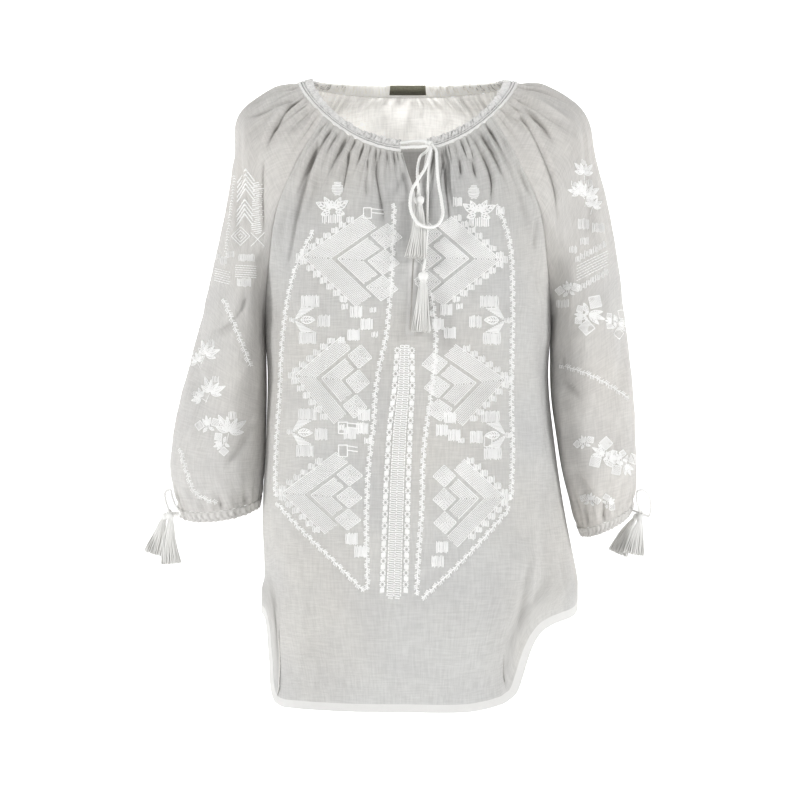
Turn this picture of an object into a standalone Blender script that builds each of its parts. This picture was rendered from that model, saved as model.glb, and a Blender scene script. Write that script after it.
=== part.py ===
"""A woman's peasant blouse of thin white cotton, filled out as it is worn, with nobody in it.

Raglan sleeves and both body panels are gathered into a narrow casing round a wide neckline. The front
has a slit closed by a twisted drawcord in a slip bow with two tassels. The three-quarter sleeves are
gathered into narrow casings with their own tasselled drawcords, and the hem is a curved shirt tail.

Tables are in millimetres. X is to the wearer's left, Y to the back, Z up, and the origin is in the middle
of the neckline at the height of the shoulders. Every cloth piece is a wall lofted through sections.
"""

import math
from collections import namedtuple

import bmesh
import bpy
import numpy as np
from mathutils import Vector

MM = 0.001

# Cloth and seams
WALL = 1.5
SEAM_GAP = 0.3
TURN_UP = 16.0
TURN_UP_WALL = 2.6

# Neckline: the top edge of its casing, seen from above as two half ellipses
NECK_HALF_WIDTH = 112.0
NECK_FRONT_DEPTH = 68.0
NECK_BACK_DEPTH = 64.0
NECK_FRONT_DROP = 77.0
NECK_BACK_RISE = 3.0
NECK_SHOULDER_RISE = 3.0
NECK_DROP_POWER = 1.4
NECK_SHOULDER_SLOPE = 10.0
NECK_CENTRE_SLOPE = 55.0
CASING_HEIGHT = 18.0
CASING_ENDS = (11.0, 356.0)
CASING_PUCKERS = 36
CASING_PUCKER_DEPTH = 0.9

# Where the raglan seams start on the neckline, in degrees from centre front
FRONT_SEAM_ANGLE = 52.0
BACK_SEAM_ANGLE = 128.0
SLIT_ANGLE = 3.5

# Front slit
SLIT_LENGTH = 218.0
SLIT_V_LENGTH = 52.0
SLIT_V_HALF_WIDTH = 14.5
SLIT_HALF_GAP = 0.7

Point = namedtuple("Point", "x y z")

# The raglan seams of the wearer's left side, from neckline to underarm
RAGLAN_FRONT = [Point(125, -68, -92), Point(150, -68, -148), Point(162, -46, -215)]
RAGLAN_BACK = [Point(122, 76, -52), Point(147, 84, -130), Point(162, 54, -212)]
UNDERARM = Point(168.3, 4, -279)
SEAM_ROWS = [0, 38, 88, 150, 215]

# Body sections above the underarm: middle of the row, and how far round the arc goes to each side
Yoke = namedtuple("Yoke", "x y z sweep")
FRONT_YOKE = [Yoke(8.5, -92, -125, 55), Yoke(8, -108, -170, 60), Yoke(5, -121, -230, 70)]
BACK_YOKE = [Yoke(0, 82, -26, 55), Yoke(0, 96, -82, 62), Yoke(0, 104, -168, 74)]

# Body sections from the underarm down: mid x, half width, depths, and the sway of centre front. HEM_ROW is
# the row of the hem edge, numbered on from SEAM_ROWS.
Girth = namedtuple("Girth", "z mid half front back sway")
UNDERARM_GIRTH = Girth(-279, 0, 168.3, 126, 103, 3)
GIRTHS = [
    Girth(-345, 0, 165.5, 128, 99, -1),
    Girth(-430, 3, 170.5, 130, 99, -4),
    Girth(-515, 8.25, 178.25, 133, 105, -10),
    Girth(-578, 15.5, 183.5, 135, 111, -15),
]
HEM_GIRTH = Girth(-726, 14.5, 186, 137, 114, -13)
HEM_ROW = 590

# Hem heights: side is how far round from centre (0) to the side seam (1)
Hem = namedtuple("Hem", "side z")
FRONT_HEM_LEFT = [
    Hem(0, -726),
    Hem(0.28, -725),
    Hem(0.335, -722),
    Hem(0.40, -716),
    Hem(0.455, -703),
    Hem(0.483, -684),
    Hem(0.509, -665),
    Hem(0.537, -651),
    Hem(0.571, -641.5),
    Hem(0.636, -634),
    Hem(0.711, -630.5),
    Hem(0.804, -628),
    Hem(0.88, -625.5),
    Hem(1, -617.5),
]
FRONT_HEM_RIGHT = [
    Hem(0, -726),
    Hem(0.53, -726.5),
    Hem(0.61, -726.5),
    Hem(0.655, -724.5),
    Hem(0.688, -719),
    Hem(0.709, -709),
    Hem(0.722, -695),
    Hem(0.732, -677),
    Hem(0.75, -655),
    Hem(0.79, -634),
    Hem(0.883, -623),
    Hem(1, -617),
]
BACK_HEM = [
    Hem(0, -706),
    Hem(0.3, -702),
    Hem(0.42, -688),
    Hem(0.5, -664),
    Hem(0.58, -643),
    Hem(0.72, -629),
    Hem(1, -617.5),
]

# Sleeve sections above the underarm: the overarm line, and how far round the arc goes
Cap = namedtuple("Cap", "x y z depth sweep")
LEFT_CAP = [Cap(165, 2, -4, 72, 84), Cap(206.5, 3, -33, 77, 96), Cap(221, 3, -92, 66, 128)]
RIGHT_CAP = [Cap(162, 2, -7, 72, 84), Cap(198.5, 3, -36.5, 77, 96), Cap(203.5, 3, -92, 66, 128)]

# Sleeve rings from the underarm down: outer and inner line, half depth front to back, front lower than back
Ring = namedtuple("Ring", "outer_x outer_z inner_x inner_z depth droop")
LEFT_RINGS = [
    Ring(237, -158, 168.3, -279, 63, 0),
    Ring(251, -236, 171.3, -322, 60, 0),
    Ring(260, -310, 170.6, -366, 58, 0),
    Ring(265, -385, 175.0, -412, 57, 1),
    Ring(270, -454, 185.0, -470, 53, 5),
    Ring(266, -493, 199.5, -521.5, 43, 8),
]
RIGHT_RINGS = [
    Ring(216, -158, 168.3, -279, 63, 0),
    Ring(234, -236, 171.3, -322, 60, 0),
    Ring(252, -310, 170.0, -366, 58, 2),
    Ring(269, -385, 170.4, -412, 58, 5),
    Ring(281, -456, 172.2, -456, 56, 9),
    Ring(272, -497, 173.0, -486, 47, 12),
]
CUFF_HEIGHT = 12.0
CUFF_PUCKERS = 20
CUFF_PUCKER_DEPTH = 0.9
Cuff = namedtuple("Cuff", "outer_x outer_z inner_x inner_z depth droop")
LEFT_CUFF = Cuff(262, -504.5, 205, -532.5, 39, 8)
RIGHT_CUFF = Cuff(268, -509, 175.5, -498, 44, 12)

# Gathers: how many, how high, and how far down they last in millimetres
Gather = namedtuple("Gather", "count height shortest longest")
FRONT_GATHERS = Gather(20, 3.6, 40, 100)
BACK_GATHERS = Gather(16, 3.2, 35, 70)
CAP_GATHERS = Gather(12, 3.4, 45, 95)
CUFF_GATHERS = Gather(24, 3.2, 22, 46)

# Soft folds, as lines on a panel: side from -1 to 1 and way down at both ends, half width, and height
Fold = namedtuple("Fold", "side0 down0 side1 down1 width height")
FRONT_FOLDS = [
    Fold(-0.86, 30, -0.88, 170, 13, -4.5),
    Fold(0.80, 25, 0.86, 180, 14, -5.0),
    Fold(-0.55, 40, -0.62, 230, 16, 3.0),
    Fold(0.52, 50, 0.60, 240, 16, 3.0),
    Fold(0.73, 330, 0.56, 590, 12, -5.0),
    Fold(-0.80, 380, -0.72, 560, 20, -3.5),
    Fold(0.30, 430, 0.27, 630, 26, 3.0),
]
BACK_FOLDS = [
    Fold(-0.45, 60, -0.52, 330, 20, 3.5),
    Fold(0.40, 70, 0.50, 360, 20, 3.5),
    Fold(0.02, 260, 0.05, 600, 26, 4.0),
    Fold(-0.72, 300, -0.66, 560, 18, -4.0),
    Fold(0.70, 330, 0.62, 580, 18, -4.0),
]
SLEEVE_FOLDS = [
    Fold(0.28, 60, 0.45, 230, 12, -3.5),
    Fold(-0.30, 60, -0.45, 220, 12, -3.0),
    Fold(0.02, 300, 0.34, 430, 14, -3.5),
    Fold(-0.25, 330, 0.10, 490, 14, 3.0),
    Fold(-0.60, 300, -0.35, 470, 14, -3.5),
]

# Cords and tassels
CORD = 4.0
CUFF_CORD = 3.0
TASSEL_LOCKS = 9


def smooth(x):
    """0 below 0, 1 above 1, and a soft step between."""
    x = np.clip(x, 0, 1)
    return x * x * (3 - 2 * x)


def uneven(index, low, high):
    """A fixed value between low and high that looks random from one index to the next."""
    share = np.modf(np.abs(np.sin(np.asarray(index, float) * 12.9898 + 4.1414)) * 437.585)[0]
    return low + (high - low) * share


def through(knots, points, at):
    """A smooth curve through points, one for each knot, read at one or more places."""
    knots = np.asarray(knots, float)
    points = np.asarray(points, float)
    steps = np.diff(knots)
    shape = (-1,) + (1,) * (points.ndim - 1)
    slopes = np.diff(points, axis=0) / steps.reshape(shape)
    before = steps[:-1].reshape(shape)
    after = steps[1:].reshape(shape)
    tangents = np.empty_like(points)
    tangents[1:-1] = (slopes[:-1] * after + slopes[1:] * before) / (before + after)
    tangents[0] = slopes[0]
    tangents[-1] = slopes[-1]
    at = np.atleast_1d(np.asarray(at, float))
    i = np.clip(np.searchsorted(knots, at, side="right") - 1, 0, len(knots) - 2)
    h = steps[i].reshape(shape)
    s = ((at - knots[i]) / steps[i]).reshape(shape)
    return (
        points[i] * (1 + 2 * s) * (1 - s) ** 2
        + points[i + 1] * s * s * (3 - 2 * s)
        + tangents[i] * h * s * (1 - s) ** 2
        + tangents[i + 1] * h * s * s * (s - 1)
    )


def unit(vectors):
    return vectors / np.maximum(np.linalg.norm(vectors, axis=-1, keepdims=True), 1e-12)


def stack(x, y, z):
    return np.stack(np.broadcast_arrays(x, y, z), axis=-1).astype(float)


def neck_frame(angle):
    """The neckline's top edge at angles from centre front, and its outward and slope directions there."""
    a = np.radians(angle)
    s = np.sin(a)
    c = np.cos(a)
    depth = np.where(c > 0, NECK_FRONT_DEPTH, NECK_BACK_DEPTH)
    drop = np.where(c > 0, -NECK_FRONT_DROP * np.abs(c) ** NECK_DROP_POWER, NECK_BACK_RISE * c * c)
    edge = stack(NECK_HALF_WIDTH * s, -depth * c, NECK_SHOULDER_RISE + drop)
    outward = unit(stack(s / NECK_HALF_WIDTH, -c / depth, 0 * s))
    slope = np.radians(NECK_SHOULDER_SLOPE + (NECK_CENTRE_SLOPE - NECK_SHOULDER_SLOPE) * c * c)
    return edge, outward, slope[..., None]


def neck_point(angle, down, height=0):
    """Points a way down the cloth from the neckline's top edge, and a height off it."""
    edge, outward, slope = neck_frame(angle)
    up = np.array([0.0, 0.0, 1.0])
    along = outward * np.cos(slope) - up * np.sin(slope)
    off = outward * np.sin(slope) + up * np.cos(slope)
    return edge + along * np.asarray(down)[..., None] + off * np.asarray(height)[..., None]


def mirrored(point, hand):
    return np.array([point[0] * hand, point[1], point[2]], float)


def raglan_seam(front, hand, row):
    """The seam between body and sleeve: one curve from the front neckline under the arm to the back."""
    front_top = neck_point(np.float64(hand * FRONT_SEAM_ANGLE), CASING_HEIGHT + SEAM_GAP)
    back_top = neck_point(np.float64(hand * BACK_SEAM_ANGLE), CASING_HEIGHT + SEAM_GAP)
    points = [front_top]
    points += [mirrored(p, hand) for p in RAGLAN_FRONT]
    points += [mirrored(UNDERARM, hand)]
    points += [mirrored(p, hand) for p in reversed(RAGLAN_BACK)]
    points += [back_top]
    last = SEAM_ROWS[-1]
    knots = SEAM_ROWS + [2 * last - k for k in reversed(SEAM_ROWS[:-1])]
    return through(knots, points, row if front else 2 * last - row)[0]


class Panel:
    """A cloth piece as a loft. Its rows run from side -1 to side 1, numbered as in SEAM_ROWS and on."""

    def __init__(self, knots, sections, facing, edge_seams, neck_angle, tube=False):
        self.knots = np.asarray(knots, float)
        self.sections = sections
        self.facing = facing
        self.edge_seams = edge_seams
        self.neck_angle = neck_angle
        self.tube = tube
        self.neighbours = None
        middle = np.array([section(np.array([0.0]))[0] for section in sections])
        self.downs = np.concatenate([[0], np.cumsum(np.linalg.norm(np.diff(middle, axis=0), axis=1))])

    def down(self, row):
        """How far a row is from the casing, in millimetres along the middle of the piece."""
        return float(np.interp(row, self.knots, self.downs))

    def row_at(self, down):
        return float(np.interp(down, self.downs, self.knots))

    def points(self, side, row):
        side = np.asarray(side, float)
        ends = np.array([-1.0, 1.0])
        both = np.concatenate([ends, side])
        line = through(self.knots, np.array([s(both) for s in self.sections]), row)[0]
        if row < SEAM_ROWS[-1]:
            edges = np.array([seam(row) for seam in self.edge_seams])
        elif self.tube:
            edges = (line[:1] + line[1:2]) / 2
        else:
            edges = line[:2] * [1, 0, 1] + [0, UNDERARM.y, 0]
        shift = edges - line[:2]
        shift = np.broadcast_to(shift, (2, 3))
        near = np.abs(side) ** 5
        share = np.where(side[:, None] < 0, shift[0], shift[1])
        return line[2:] + share * near[:, None]

    def normals(self, side, row):
        side = np.asarray(side, float)
        step = 2e-3
        low = np.maximum(side - step, -1)
        high = np.minimum(side + step, 1)
        above = max(row - 1, 0)
        below = min(row + 1, self.knots[-1])
        along = self.points(high, row) - self.points(low, row)
        across = self.points(side, below) - self.points(side, above)
        return unit(np.cross(across, along)) * self.facing

    def width(self, row):
        line = self.points(np.linspace(-1, 1, 41), row)
        return np.linalg.norm(np.diff(line, axis=0), axis=1).sum()

    def cloth_normals(self, side, row):
        """Normals for the wall: the casing's at the top, and shared ones where an edge meets itself."""
        side = np.asarray(side, float)
        normal = self.normals(side, row)
        if self.tube and row >= SEAM_ROWS[-1]:
            ends = self.normals(np.array([-1.0, 1.0]), row)
            normal = np.where(np.abs(side)[:, None] > 1 - 1e-9, unit(ends[0] + ends[1]), normal)
        top = smooth(1 - self.down(row) / 12)
        angle = self.neck_angle(side)
        flat = neck_point(angle, 0 * side, 1 + 0 * side) - neck_point(angle, 0 * side)
        normal = unit(normal * (1 - top) + flat * top)
        if self.tube:
            end = smooth(1 - (self.downs[-1] - self.down(row)) / 10)
            normal = unit(normal * (1 - end) + cuff_frame(-self.facing, side)[2] * end)
        return normal


def yoke_section(yoke, seam):
    """A body row above the underarm, from one raglan seam to the other."""
    reach = math.radians(yoke.sweep)

    def section(side):
        turn = reach * side
        share = (1 - np.cos(turn)) / (1 - math.cos(reach))
        x = seam[0] * np.sin(turn) / math.sin(reach) + yoke.x * (1 - side * side)
        return stack(x, yoke.y + (seam[1] - yoke.y) * share, yoke.z + (seam[2] - yoke.z) * share)

    return section


def girth_points(girth, front, side, z):
    """Points on the body's oval. side goes a quarter of the way round for each unit."""
    turn = np.radians(90) * side
    depth = -girth.front if front else girth.back
    sway = girth.sway if front else 0
    x = girth.mid + girth.half * np.sin(turn) + sway * np.cos(turn)
    y = UNDERARM.y + (depth - UNDERARM.y) * np.cos(turn)
    return stack(x, y, z + 0 * side)


def hem_height(front, side):
    """The hem's height at each side value."""
    tables = (FRONT_HEM_LEFT, FRONT_HEM_RIGHT) if front else (BACK_HEM, BACK_HEM)
    heights = [through([h.side for h in t], [h.z for h in t], np.abs(side)) for t in tables]
    return np.where(side >= 0, heights[0], heights[1])


def hem_section(front, raised):
    """The hem edge, or a line that far inside it."""

    def section(side):
        arc = HEM_GIRTH.half * 1.35
        step = 0.01
        slope = (hem_height(front, side + step) - hem_height(front, side - step)) / (2 * step * arc)
        slope = slope * smooth((1 - np.abs(side)) / 0.06)
        size = np.sqrt(1 + slope * slope)
        moved = side - raised * slope / size / arc
        return girth_points(HEM_GIRTH, front, moved, hem_height(front, side) + raised / size)

    return section


def body_panel(front):
    half = FRONT_SEAM_ANGLE if front else 180 - BACK_SEAM_ANGLE

    def neck_angle(side):
        return half * side + SLIT_ANGLE * (1 - side * side) if front else 180 - half * side

    def neck(side):
        return neck_point(neck_angle(side), np.full_like(side, CASING_HEIGHT + SEAM_GAP))

    seams = RAGLAN_FRONT if front else RAGLAN_BACK
    yokes = FRONT_YOKE if front else BACK_YOKE
    sections = [neck] + [yoke_section(yoke, seam) for yoke, seam in zip(yokes, seams)]
    knots = list(SEAM_ROWS)
    for girth in [UNDERARM_GIRTH] + GIRTHS:
        sections.append(lambda side, girth=girth: girth_points(girth, front, side, girth.z))
    knots += [SEAM_ROWS[-1] + UNDERARM_GIRTH.z - girth.z for girth in GIRTHS]
    for raised in (TURN_UP, 0.0):
        sections.append(hem_section(front, raised))
        knots.append(HEM_ROW - raised)
    edges = [lambda row, hand=hand: raglan_seam(front, hand, row) for hand in (-1, 1)]
    return Panel(knots, sections, 1 if front else -1, edges, neck_angle)


def cap_section(cap, hand, front_seam, back_seam):
    """A sleeve row above the underarm: an arc from back raglan seam over the shoulder to front seam."""
    top = np.array([cap.x * hand, cap.y, cap.z], float)
    reach = math.radians(cap.sweep)
    middle = (front_seam + back_seam) / 2 - top
    forward = np.array([0.0, -cap.depth, 0.0])
    rest = (front_seam - back_seam) / 2 - forward * math.sin(reach)

    def section(side):
        turn = reach * side
        share = (1 - np.cos(turn)) / (1 - math.cos(reach))
        return top + middle * share[:, None] + forward * np.sin(turn)[:, None] + rest * side[:, None]

    return section


def ring_section(ring, hand):
    """A closed sleeve row. Side 0 is the overarm line, and sides -1 and 1 are both the underarm line."""

    def section(side):
        turn = math.pi * side
        share = (1 - np.cos(turn)) / 2
        x = ring.outer_x + (ring.inner_x - ring.outer_x) * share
        y = UNDERARM.y - ring.depth * np.sin(turn)
        z = ring.outer_z + (ring.inner_z - ring.outer_z) * share - ring.droop * np.sin(turn)
        return stack(x * hand, y, z)

    return section


def sleeve_panel(hand):
    """hand is 1 for the wearer's left sleeve and -1 for the right one. Side 1 is the front seam."""
    caps = LEFT_CAP if hand > 0 else RIGHT_CAP
    rings = LEFT_RINGS if hand > 0 else RIGHT_RINGS
    middle = (FRONT_SEAM_ANGLE + BACK_SEAM_ANGLE) / 2
    half = (BACK_SEAM_ANGLE - FRONT_SEAM_ANGLE) / 2

    def neck_angle(side):
        return hand * (middle - half * side)

    def neck(side):
        return neck_point(neck_angle(side), np.full_like(side, CASING_HEIGHT + SEAM_GAP))

    sections = [neck]
    for cap, front_seam, back_seam in zip(caps, RAGLAN_FRONT, RAGLAN_BACK):
        sections.append(cap_section(cap, hand, mirrored(front_seam, hand), mirrored(back_seam, hand)))
    sections += [ring_section(ring, hand) for ring in rings]
    knots = list(SEAM_ROWS)
    for first, second in zip(rings, rings[1:]):
        outer = math.dist((first.outer_x, first.outer_z), (second.outer_x, second.outer_z))
        inner = math.dist((first.inner_x, first.inner_z), (second.inner_x, second.inner_z))
        knots.append(knots[-1] + (outer + inner) / 2)
    edges = [lambda row, front=front: raglan_seam(front, hand, row) for front in (False, True)]
    return Panel(knots, sections, -hand, edges, neck_angle, tube=True)


def gather_height(gather, place, down):
    """Ridges that start at a casing and die out at their own lengths. place goes from 0 to 1."""
    at = place * gather.count
    index = np.floor(at + 1 / 6)
    within = at - index - 1 / 3
    ridge = np.cos(np.clip(within * 1.15, -0.5, 0.5) * math.pi) ** 2 - 0.35
    lasts = uneven(index, gather.shortest, gather.longest)
    height = gather.height * uneven(index + 50, 0.65, 1.0)
    rise = 0.35 + 0.65 * smooth(down / 14)
    return ridge * height * rise * (1 - smooth(down / lasts))


def fold_height(folds, side, down, width):
    """Soft ridges and troughs along straight lines on a panel."""
    total = np.zeros(np.shape(side))
    for fold in folds:
        along = (down - fold.down0) / (fold.down1 - fold.down0)
        line = fold.side0 + (fold.side1 - fold.side0) * along
        off = (side - line) * width / 2 / fold.width
        total += fold.height * np.exp(-off * off) * smooth(along / 0.3) * smooth((1 - along) / 0.3)
    return total * smooth((1 - np.abs(side)) / 0.08)


def zip_rows(first, second, places_first, places_second):
    """Faces between two rows of vertex numbers, stepping along whichever row is behind."""
    faces = []
    i = 0
    j = 0
    while i < len(first) - 1 or j < len(second) - 1:
        ahead_i = places_first[i + 1] if i < len(first) - 1 else math.inf
        ahead_j = places_second[j + 1] if j < len(second) - 1 else math.inf
        if abs(ahead_i - ahead_j) < 1e-6:
            faces.append([first[i], second[j], second[j + 1], first[i + 1]])
            i += 1
            j += 1
        elif ahead_i < ahead_j:
            faces.append([first[i], second[j], first[i + 1]])
            i += 1
        else:
            faces.append([first[i], second[j], second[j + 1]])
            j += 1
    return faces


Line = namedtuple("Line", "places outer inner")


def wall_object(name, grids, material, facing):
    """A closed wall from grids of lines. Lines of different grids join where they have the same points."""
    number = {}
    outer = []
    inner = []

    def numbered(out, into):
        key = tuple(round(float(c), 2) for c in out)
        if key not in number:
            number[key] = len(outer)
            outer.append(out)
            inner.append(into)
        return number[key]

    faces = []
    for grid in grids:
        rows = [[numbered(o, i) for o, i in zip(line.outer, line.inner)] for line in grid]
        for k in range(len(grid) - 1):
            faces += zip_rows(rows[k], rows[k + 1], grid[k].places, grid[k + 1].places)
    if facing < 0:
        faces = [face[::-1] for face in faces]
    count = len(outer)
    edges = {(a, b) for face in faces for a, b in zip(face, face[1:] + face[:1])}
    rims = [(b, a, a + count, b + count) for a, b in sorted(edges) if (b, a) not in edges]
    backs = [[v + count for v in reversed(face)] for face in faces]
    mesh = bpy.data.meshes.new(name)
    mesh.from_pydata((np.array(outer + inner) * MM).tolist(), [], faces + backs + rims)
    return link(name, mesh, material)


def link(name, data, material):
    made = bpy.data.objects.new(name, data)
    bpy.context.scene.collection.objects.link(made)
    data.materials.append(material)
    return made


def edge_frame(panel, end, row):
    """At an end (-1 or 1) of a row: the edge drawn back from its seam, and the wall's direction there."""
    at = np.array([float(end)])
    point = panel.points(at, row)[0]
    normal = panel.cloth_normals(at, row)[0]
    last = SEAM_ROWS[-1]
    into = unit(panel.points(at * 0.97, row)[0] - point)
    if row > last or (row == last and panel.tube):
        if panel.tube and row > last:
            return point, normal
        if panel.tube:
            below = unit(panel.points(at, row + 2)[0] - point)
            return point + below * SEAM_GAP / 2, shared_normal(panel, end, row)
        normal = unit(normal - into * np.dot(normal, into))
        return point + into * SEAM_GAP / 2, normal
    normal = shared_normal(panel, end, row)
    seam = panel.edge_seams[0 if end < 0 else 1]
    along = unit(seam(min(row + 1, last)) - seam(max(row - 1, 0)))
    inward = np.cross(normal, along)
    below = unit(panel.points(at * 0.97, row + 3)[0] - point)
    inward = unit(inward * np.sign(np.dot(inward, into * 0.5 + below)))
    point = point + inward * SEAM_GAP * 0.7
    return point + (into * SEAM_GAP / 2 if row == last else 0), normal


def shared_normal(panel, end, row):
    """The wall's direction at the raglan seam, the same for the pieces on both sides of it."""
    other, other_end = panel.neighbours[0 if end < 0 else 1]
    own = panel.cloth_normals(np.array([float(end)]), row)[0]
    theirs = other.cloth_normals(np.array([float(other_end)]), row)[0]
    both = unit(own + theirs)
    last = SEAM_ROWS[-1]
    seam = panel.edge_seams[0 if end < 0 else 1]
    along = np.array([0.0, 1.0, 0.0])
    if row < last:
        along = unit(seam(min(row + 1, last)) - seam(max(row - 1, 0)))
    return unit(both - along * np.dot(both, along))


def cloth_line(panel, side, places, row, height, wall=WALL, outside=WALL / 2):
    """One line of a wall: its points moved out by their height, and half a wall each way."""
    base = panel.points(side, row)
    normal = panel.cloth_normals(side, row)
    for at in (0, -1):
        if abs(side[at]) > 1 - 1e-9:
            base[at], normal[at] = edge_frame(panel, side[at], row)
    middle = base + normal * np.asarray(height)[:, None]
    outer = middle + normal * outside
    inner = middle - normal * (wall - outside)
    if panel.tube and row >= SEAM_ROWS[-1]:
        outer[-1] = outer[0]
        inner[-1] = inner[0]
    return Line(list(places), list(outer), list(inner))


def cloth_height(panel, side, place, row, gathers, folds, cuff=None):
    """Gathers and folds together, dying away at the seams."""
    down = panel.down(row)
    height = gather_height(gathers, place, down)
    edges = smooth((1 - np.abs(side)) / 0.07)
    if cuff:
        rest = panel.down(panel.knots[-1]) - down
        height = height * edges
        if rest < cuff.longest:
            height = height + gather_height(cuff, place, rest) * smooth(rest / 8 + 0.3)
    else:
        height = height * edges
    return height + fold_height(folds, side, down, panel.width(row))


def slit_half_gap(down):
    """Half the width of the front slit, which is an open V at the top."""
    return SLIT_HALF_GAP + (SLIT_V_HALF_WIDTH - SLIT_HALF_GAP) * max(0, 1 - down / SLIT_V_LENGTH)


UPPER_ROWS = [0, 8, 22, 46, 84]
MIDDLE_ROWS = [112, 145, 180, 200, 215]


def build_front(panel, material):
    end = panel.row_at(SLIT_LENGTH)
    rows = UPPER_ROWS + MIDDLE_ROWS + [end]
    halves = []
    for hand in (-1, 1):
        grid = []
        for row in rows:
            count = FRONT_GATHERS.count * 3 // 2 if row <= UPPER_ROWS[-1] else 16
            place = np.linspace(0, 1, count + 1)
            down = panel.down(row)
            gap = 0 if row == end else slit_half_gap(down) / (panel.width(row) / 2)
            side = np.linspace(-1, -gap, count + 1) if hand < 0 else np.linspace(gap, 1, count + 1)
            place = place / 2 if hand < 0 else 0.5 + place / 2
            height = cloth_height(panel, side, place, row, FRONT_GATHERS, FRONT_FOLDS)
            grid.append(cloth_line(panel, side, place, row, height))
        halves.append(grid)
    grid = []
    last = panel.knots[-1]
    for row in lower_rows(end, last):
        side = np.linspace(-1, 1, 33)
        height = cloth_height(panel, side, (side + 1) / 2, row, FRONT_GATHERS, FRONT_FOLDS)
        wall = TURN_UP_WALL if row >= last - TURN_UP else WALL
        grid.append(cloth_line(panel, side, (side + 1) / 2, row, height, wall, wall - WALL / 2))
    return wall_object("front", halves + [grid], material, 1)


def lower_rows(start, last):
    """Rows from a start down to the hem, with two close ones where the turn-up's stitching steps the wall."""
    rows = list(np.linspace(start, last - TURN_UP - 12, 6))
    return rows + [last - TURN_UP - 0.8, last - TURN_UP, last]


def build_back(panel, material):
    last = panel.knots[-1]
    grid = []
    for row in UPPER_ROWS + MIDDLE_ROWS + lower_rows(262, last):
        count = BACK_GATHERS.count * 3 if row < UPPER_ROWS[-1] else 28
        side = np.linspace(-1, 1, count + 1)
        height = cloth_height(panel, side, (side + 1) / 2, row, BACK_GATHERS, BACK_FOLDS)
        wall = TURN_UP_WALL if row >= last - TURN_UP else WALL
        grid.append(cloth_line(panel, side, (side + 1) / 2, row, height, wall, wall - WALL / 2))
    return wall_object("back", [grid], material, -1)


def build_sleeve(panel, hand, name, material):
    last = panel.knots[-1]
    folds = SLEEVE_FOLDS
    grid = []
    for row in UPPER_ROWS + MIDDLE_ROWS:
        count = CAP_GATHERS.count * (3 if row <= UPPER_ROWS[-1] else 2)
        side = np.linspace(-1, 1, count + 1)
        height = cloth_height(panel, side, (side + 1) / 2, row, CAP_GATHERS, folds)
        if row == SEAM_ROWS[-1]:
            height[0] = 0
            height[-1] = 0
        grid.append(cloth_line(panel, side, (side + 1) / 2, row, height))
    for row in list(np.linspace(255, last - 62, 5)) + [last - 34, last - 14, last]:
        count = CUFF_GATHERS.count * 3 if row > last - 40 else CAP_GATHERS.count * 2
        side = np.linspace(-1, 1, count + 1)
        height = cloth_height(panel, side, (side + 1) / 2, row, CAP_GATHERS, folds, CUFF_GATHERS)
        height[-1] = height[0]
        grid.append(cloth_line(panel, side, (side + 1) / 2, row, height))
    return wall_object(name, [grid], material, -hand)


# The casings' outlines: down from the top edge, height off the middle of the cloth, and how much it puckers
Outline = namedtuple("Outline", "down height pucker")
NECK_OUTLINE = [
    Outline(0.3, 0.5, 0),
    Outline(2.2, 1.1, 1),
    Outline(10.6, 1.1, 1),
    Outline(12.4, 0.5, 0),
    Outline(14.2, 1.7, 0),
    Outline(16.0, 0.7, 0),
    Outline(17.4, 1.5, 0),
    Outline(18.0, -1.2, 0),
    Outline(0.0, -1.2, 0),
]
CUFF_OUTLINE = [
    Outline(0.0, 0.7, 0),
    Outline(1.6, 1.1, 1),
    Outline(10.4, 1.1, 1),
    Outline(12.0, 0.7, 0),
    Outline(12.0, -1.2, 0),
    Outline(0.0, -1.2, 0),
]


def build_neck_casing(material):
    start, stop = CASING_ENDS
    angles = np.linspace(start, stop, CASING_PUCKERS * 2 + 1)
    wave = np.where(np.arange(len(angles)) % 2 == 1, 1.0, 0.0)
    wave *= uneven(np.arange(len(angles)), 0.6, 1.0)
    rings = []
    for angle, up in zip(angles, wave):
        down = np.array([o.down for o in NECK_OUTLINE])
        height = np.array([o.height + o.pucker * CASING_PUCKER_DEPTH * (up - 0.3) for o in NECK_OUTLINE])
        rings.append(neck_point(np.full(len(down), angle), down, height))
    return solid_from_rings("neck_casing", rings, material, closed=False)


def cuff_frame(hand, side):
    """Where the cuff casing's top and bottom edges are, and the direction out of its cloth."""
    ring = (LEFT_RINGS if hand > 0 else RIGHT_RINGS)[-1]
    cuff = LEFT_CUFF if hand > 0 else RIGHT_CUFF
    side = np.asarray(side, float)
    step = 1e-3
    top = ring_section(ring, hand)(side)
    bottom = ring_section(cuff, hand)(side)
    along = ring_section(ring, hand)(side + step) - ring_section(ring, hand)(side - step)
    along = along + ring_section(cuff, hand)(side + step) - ring_section(cuff, hand)(side - step)
    return top, bottom, unit(np.cross(bottom - top, along)) * -hand


def cuff_point(hand, side, down, height):
    """Points on a cuff's casing, down from its top edge and off the middle of its cloth."""
    top, bottom, out = cuff_frame(hand, side)
    share = (np.asarray(down, float) + SEAM_GAP) / (CUFF_HEIGHT + SEAM_GAP)
    return top + (bottom - top) * share[..., None] + out * np.asarray(height, float)[..., None]


def build_cuff_casing(hand, name, material):
    rings = []
    down = np.array([o.down for o in CUFF_OUTLINE])
    for k in range(CUFF_PUCKERS * 2):
        side = np.full(len(down), k / CUFF_PUCKERS)
        up = uneven(k, 0.6, 1.0) if k % 2 else 0.0
        height = [o.height + o.pucker * CUFF_PUCKER_DEPTH * (up - 0.3) for o in CUFF_OUTLINE]
        rings.append(cuff_point(hand, side, down, height))
    return solid_from_rings(name, rings, material, closed=True)


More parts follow.
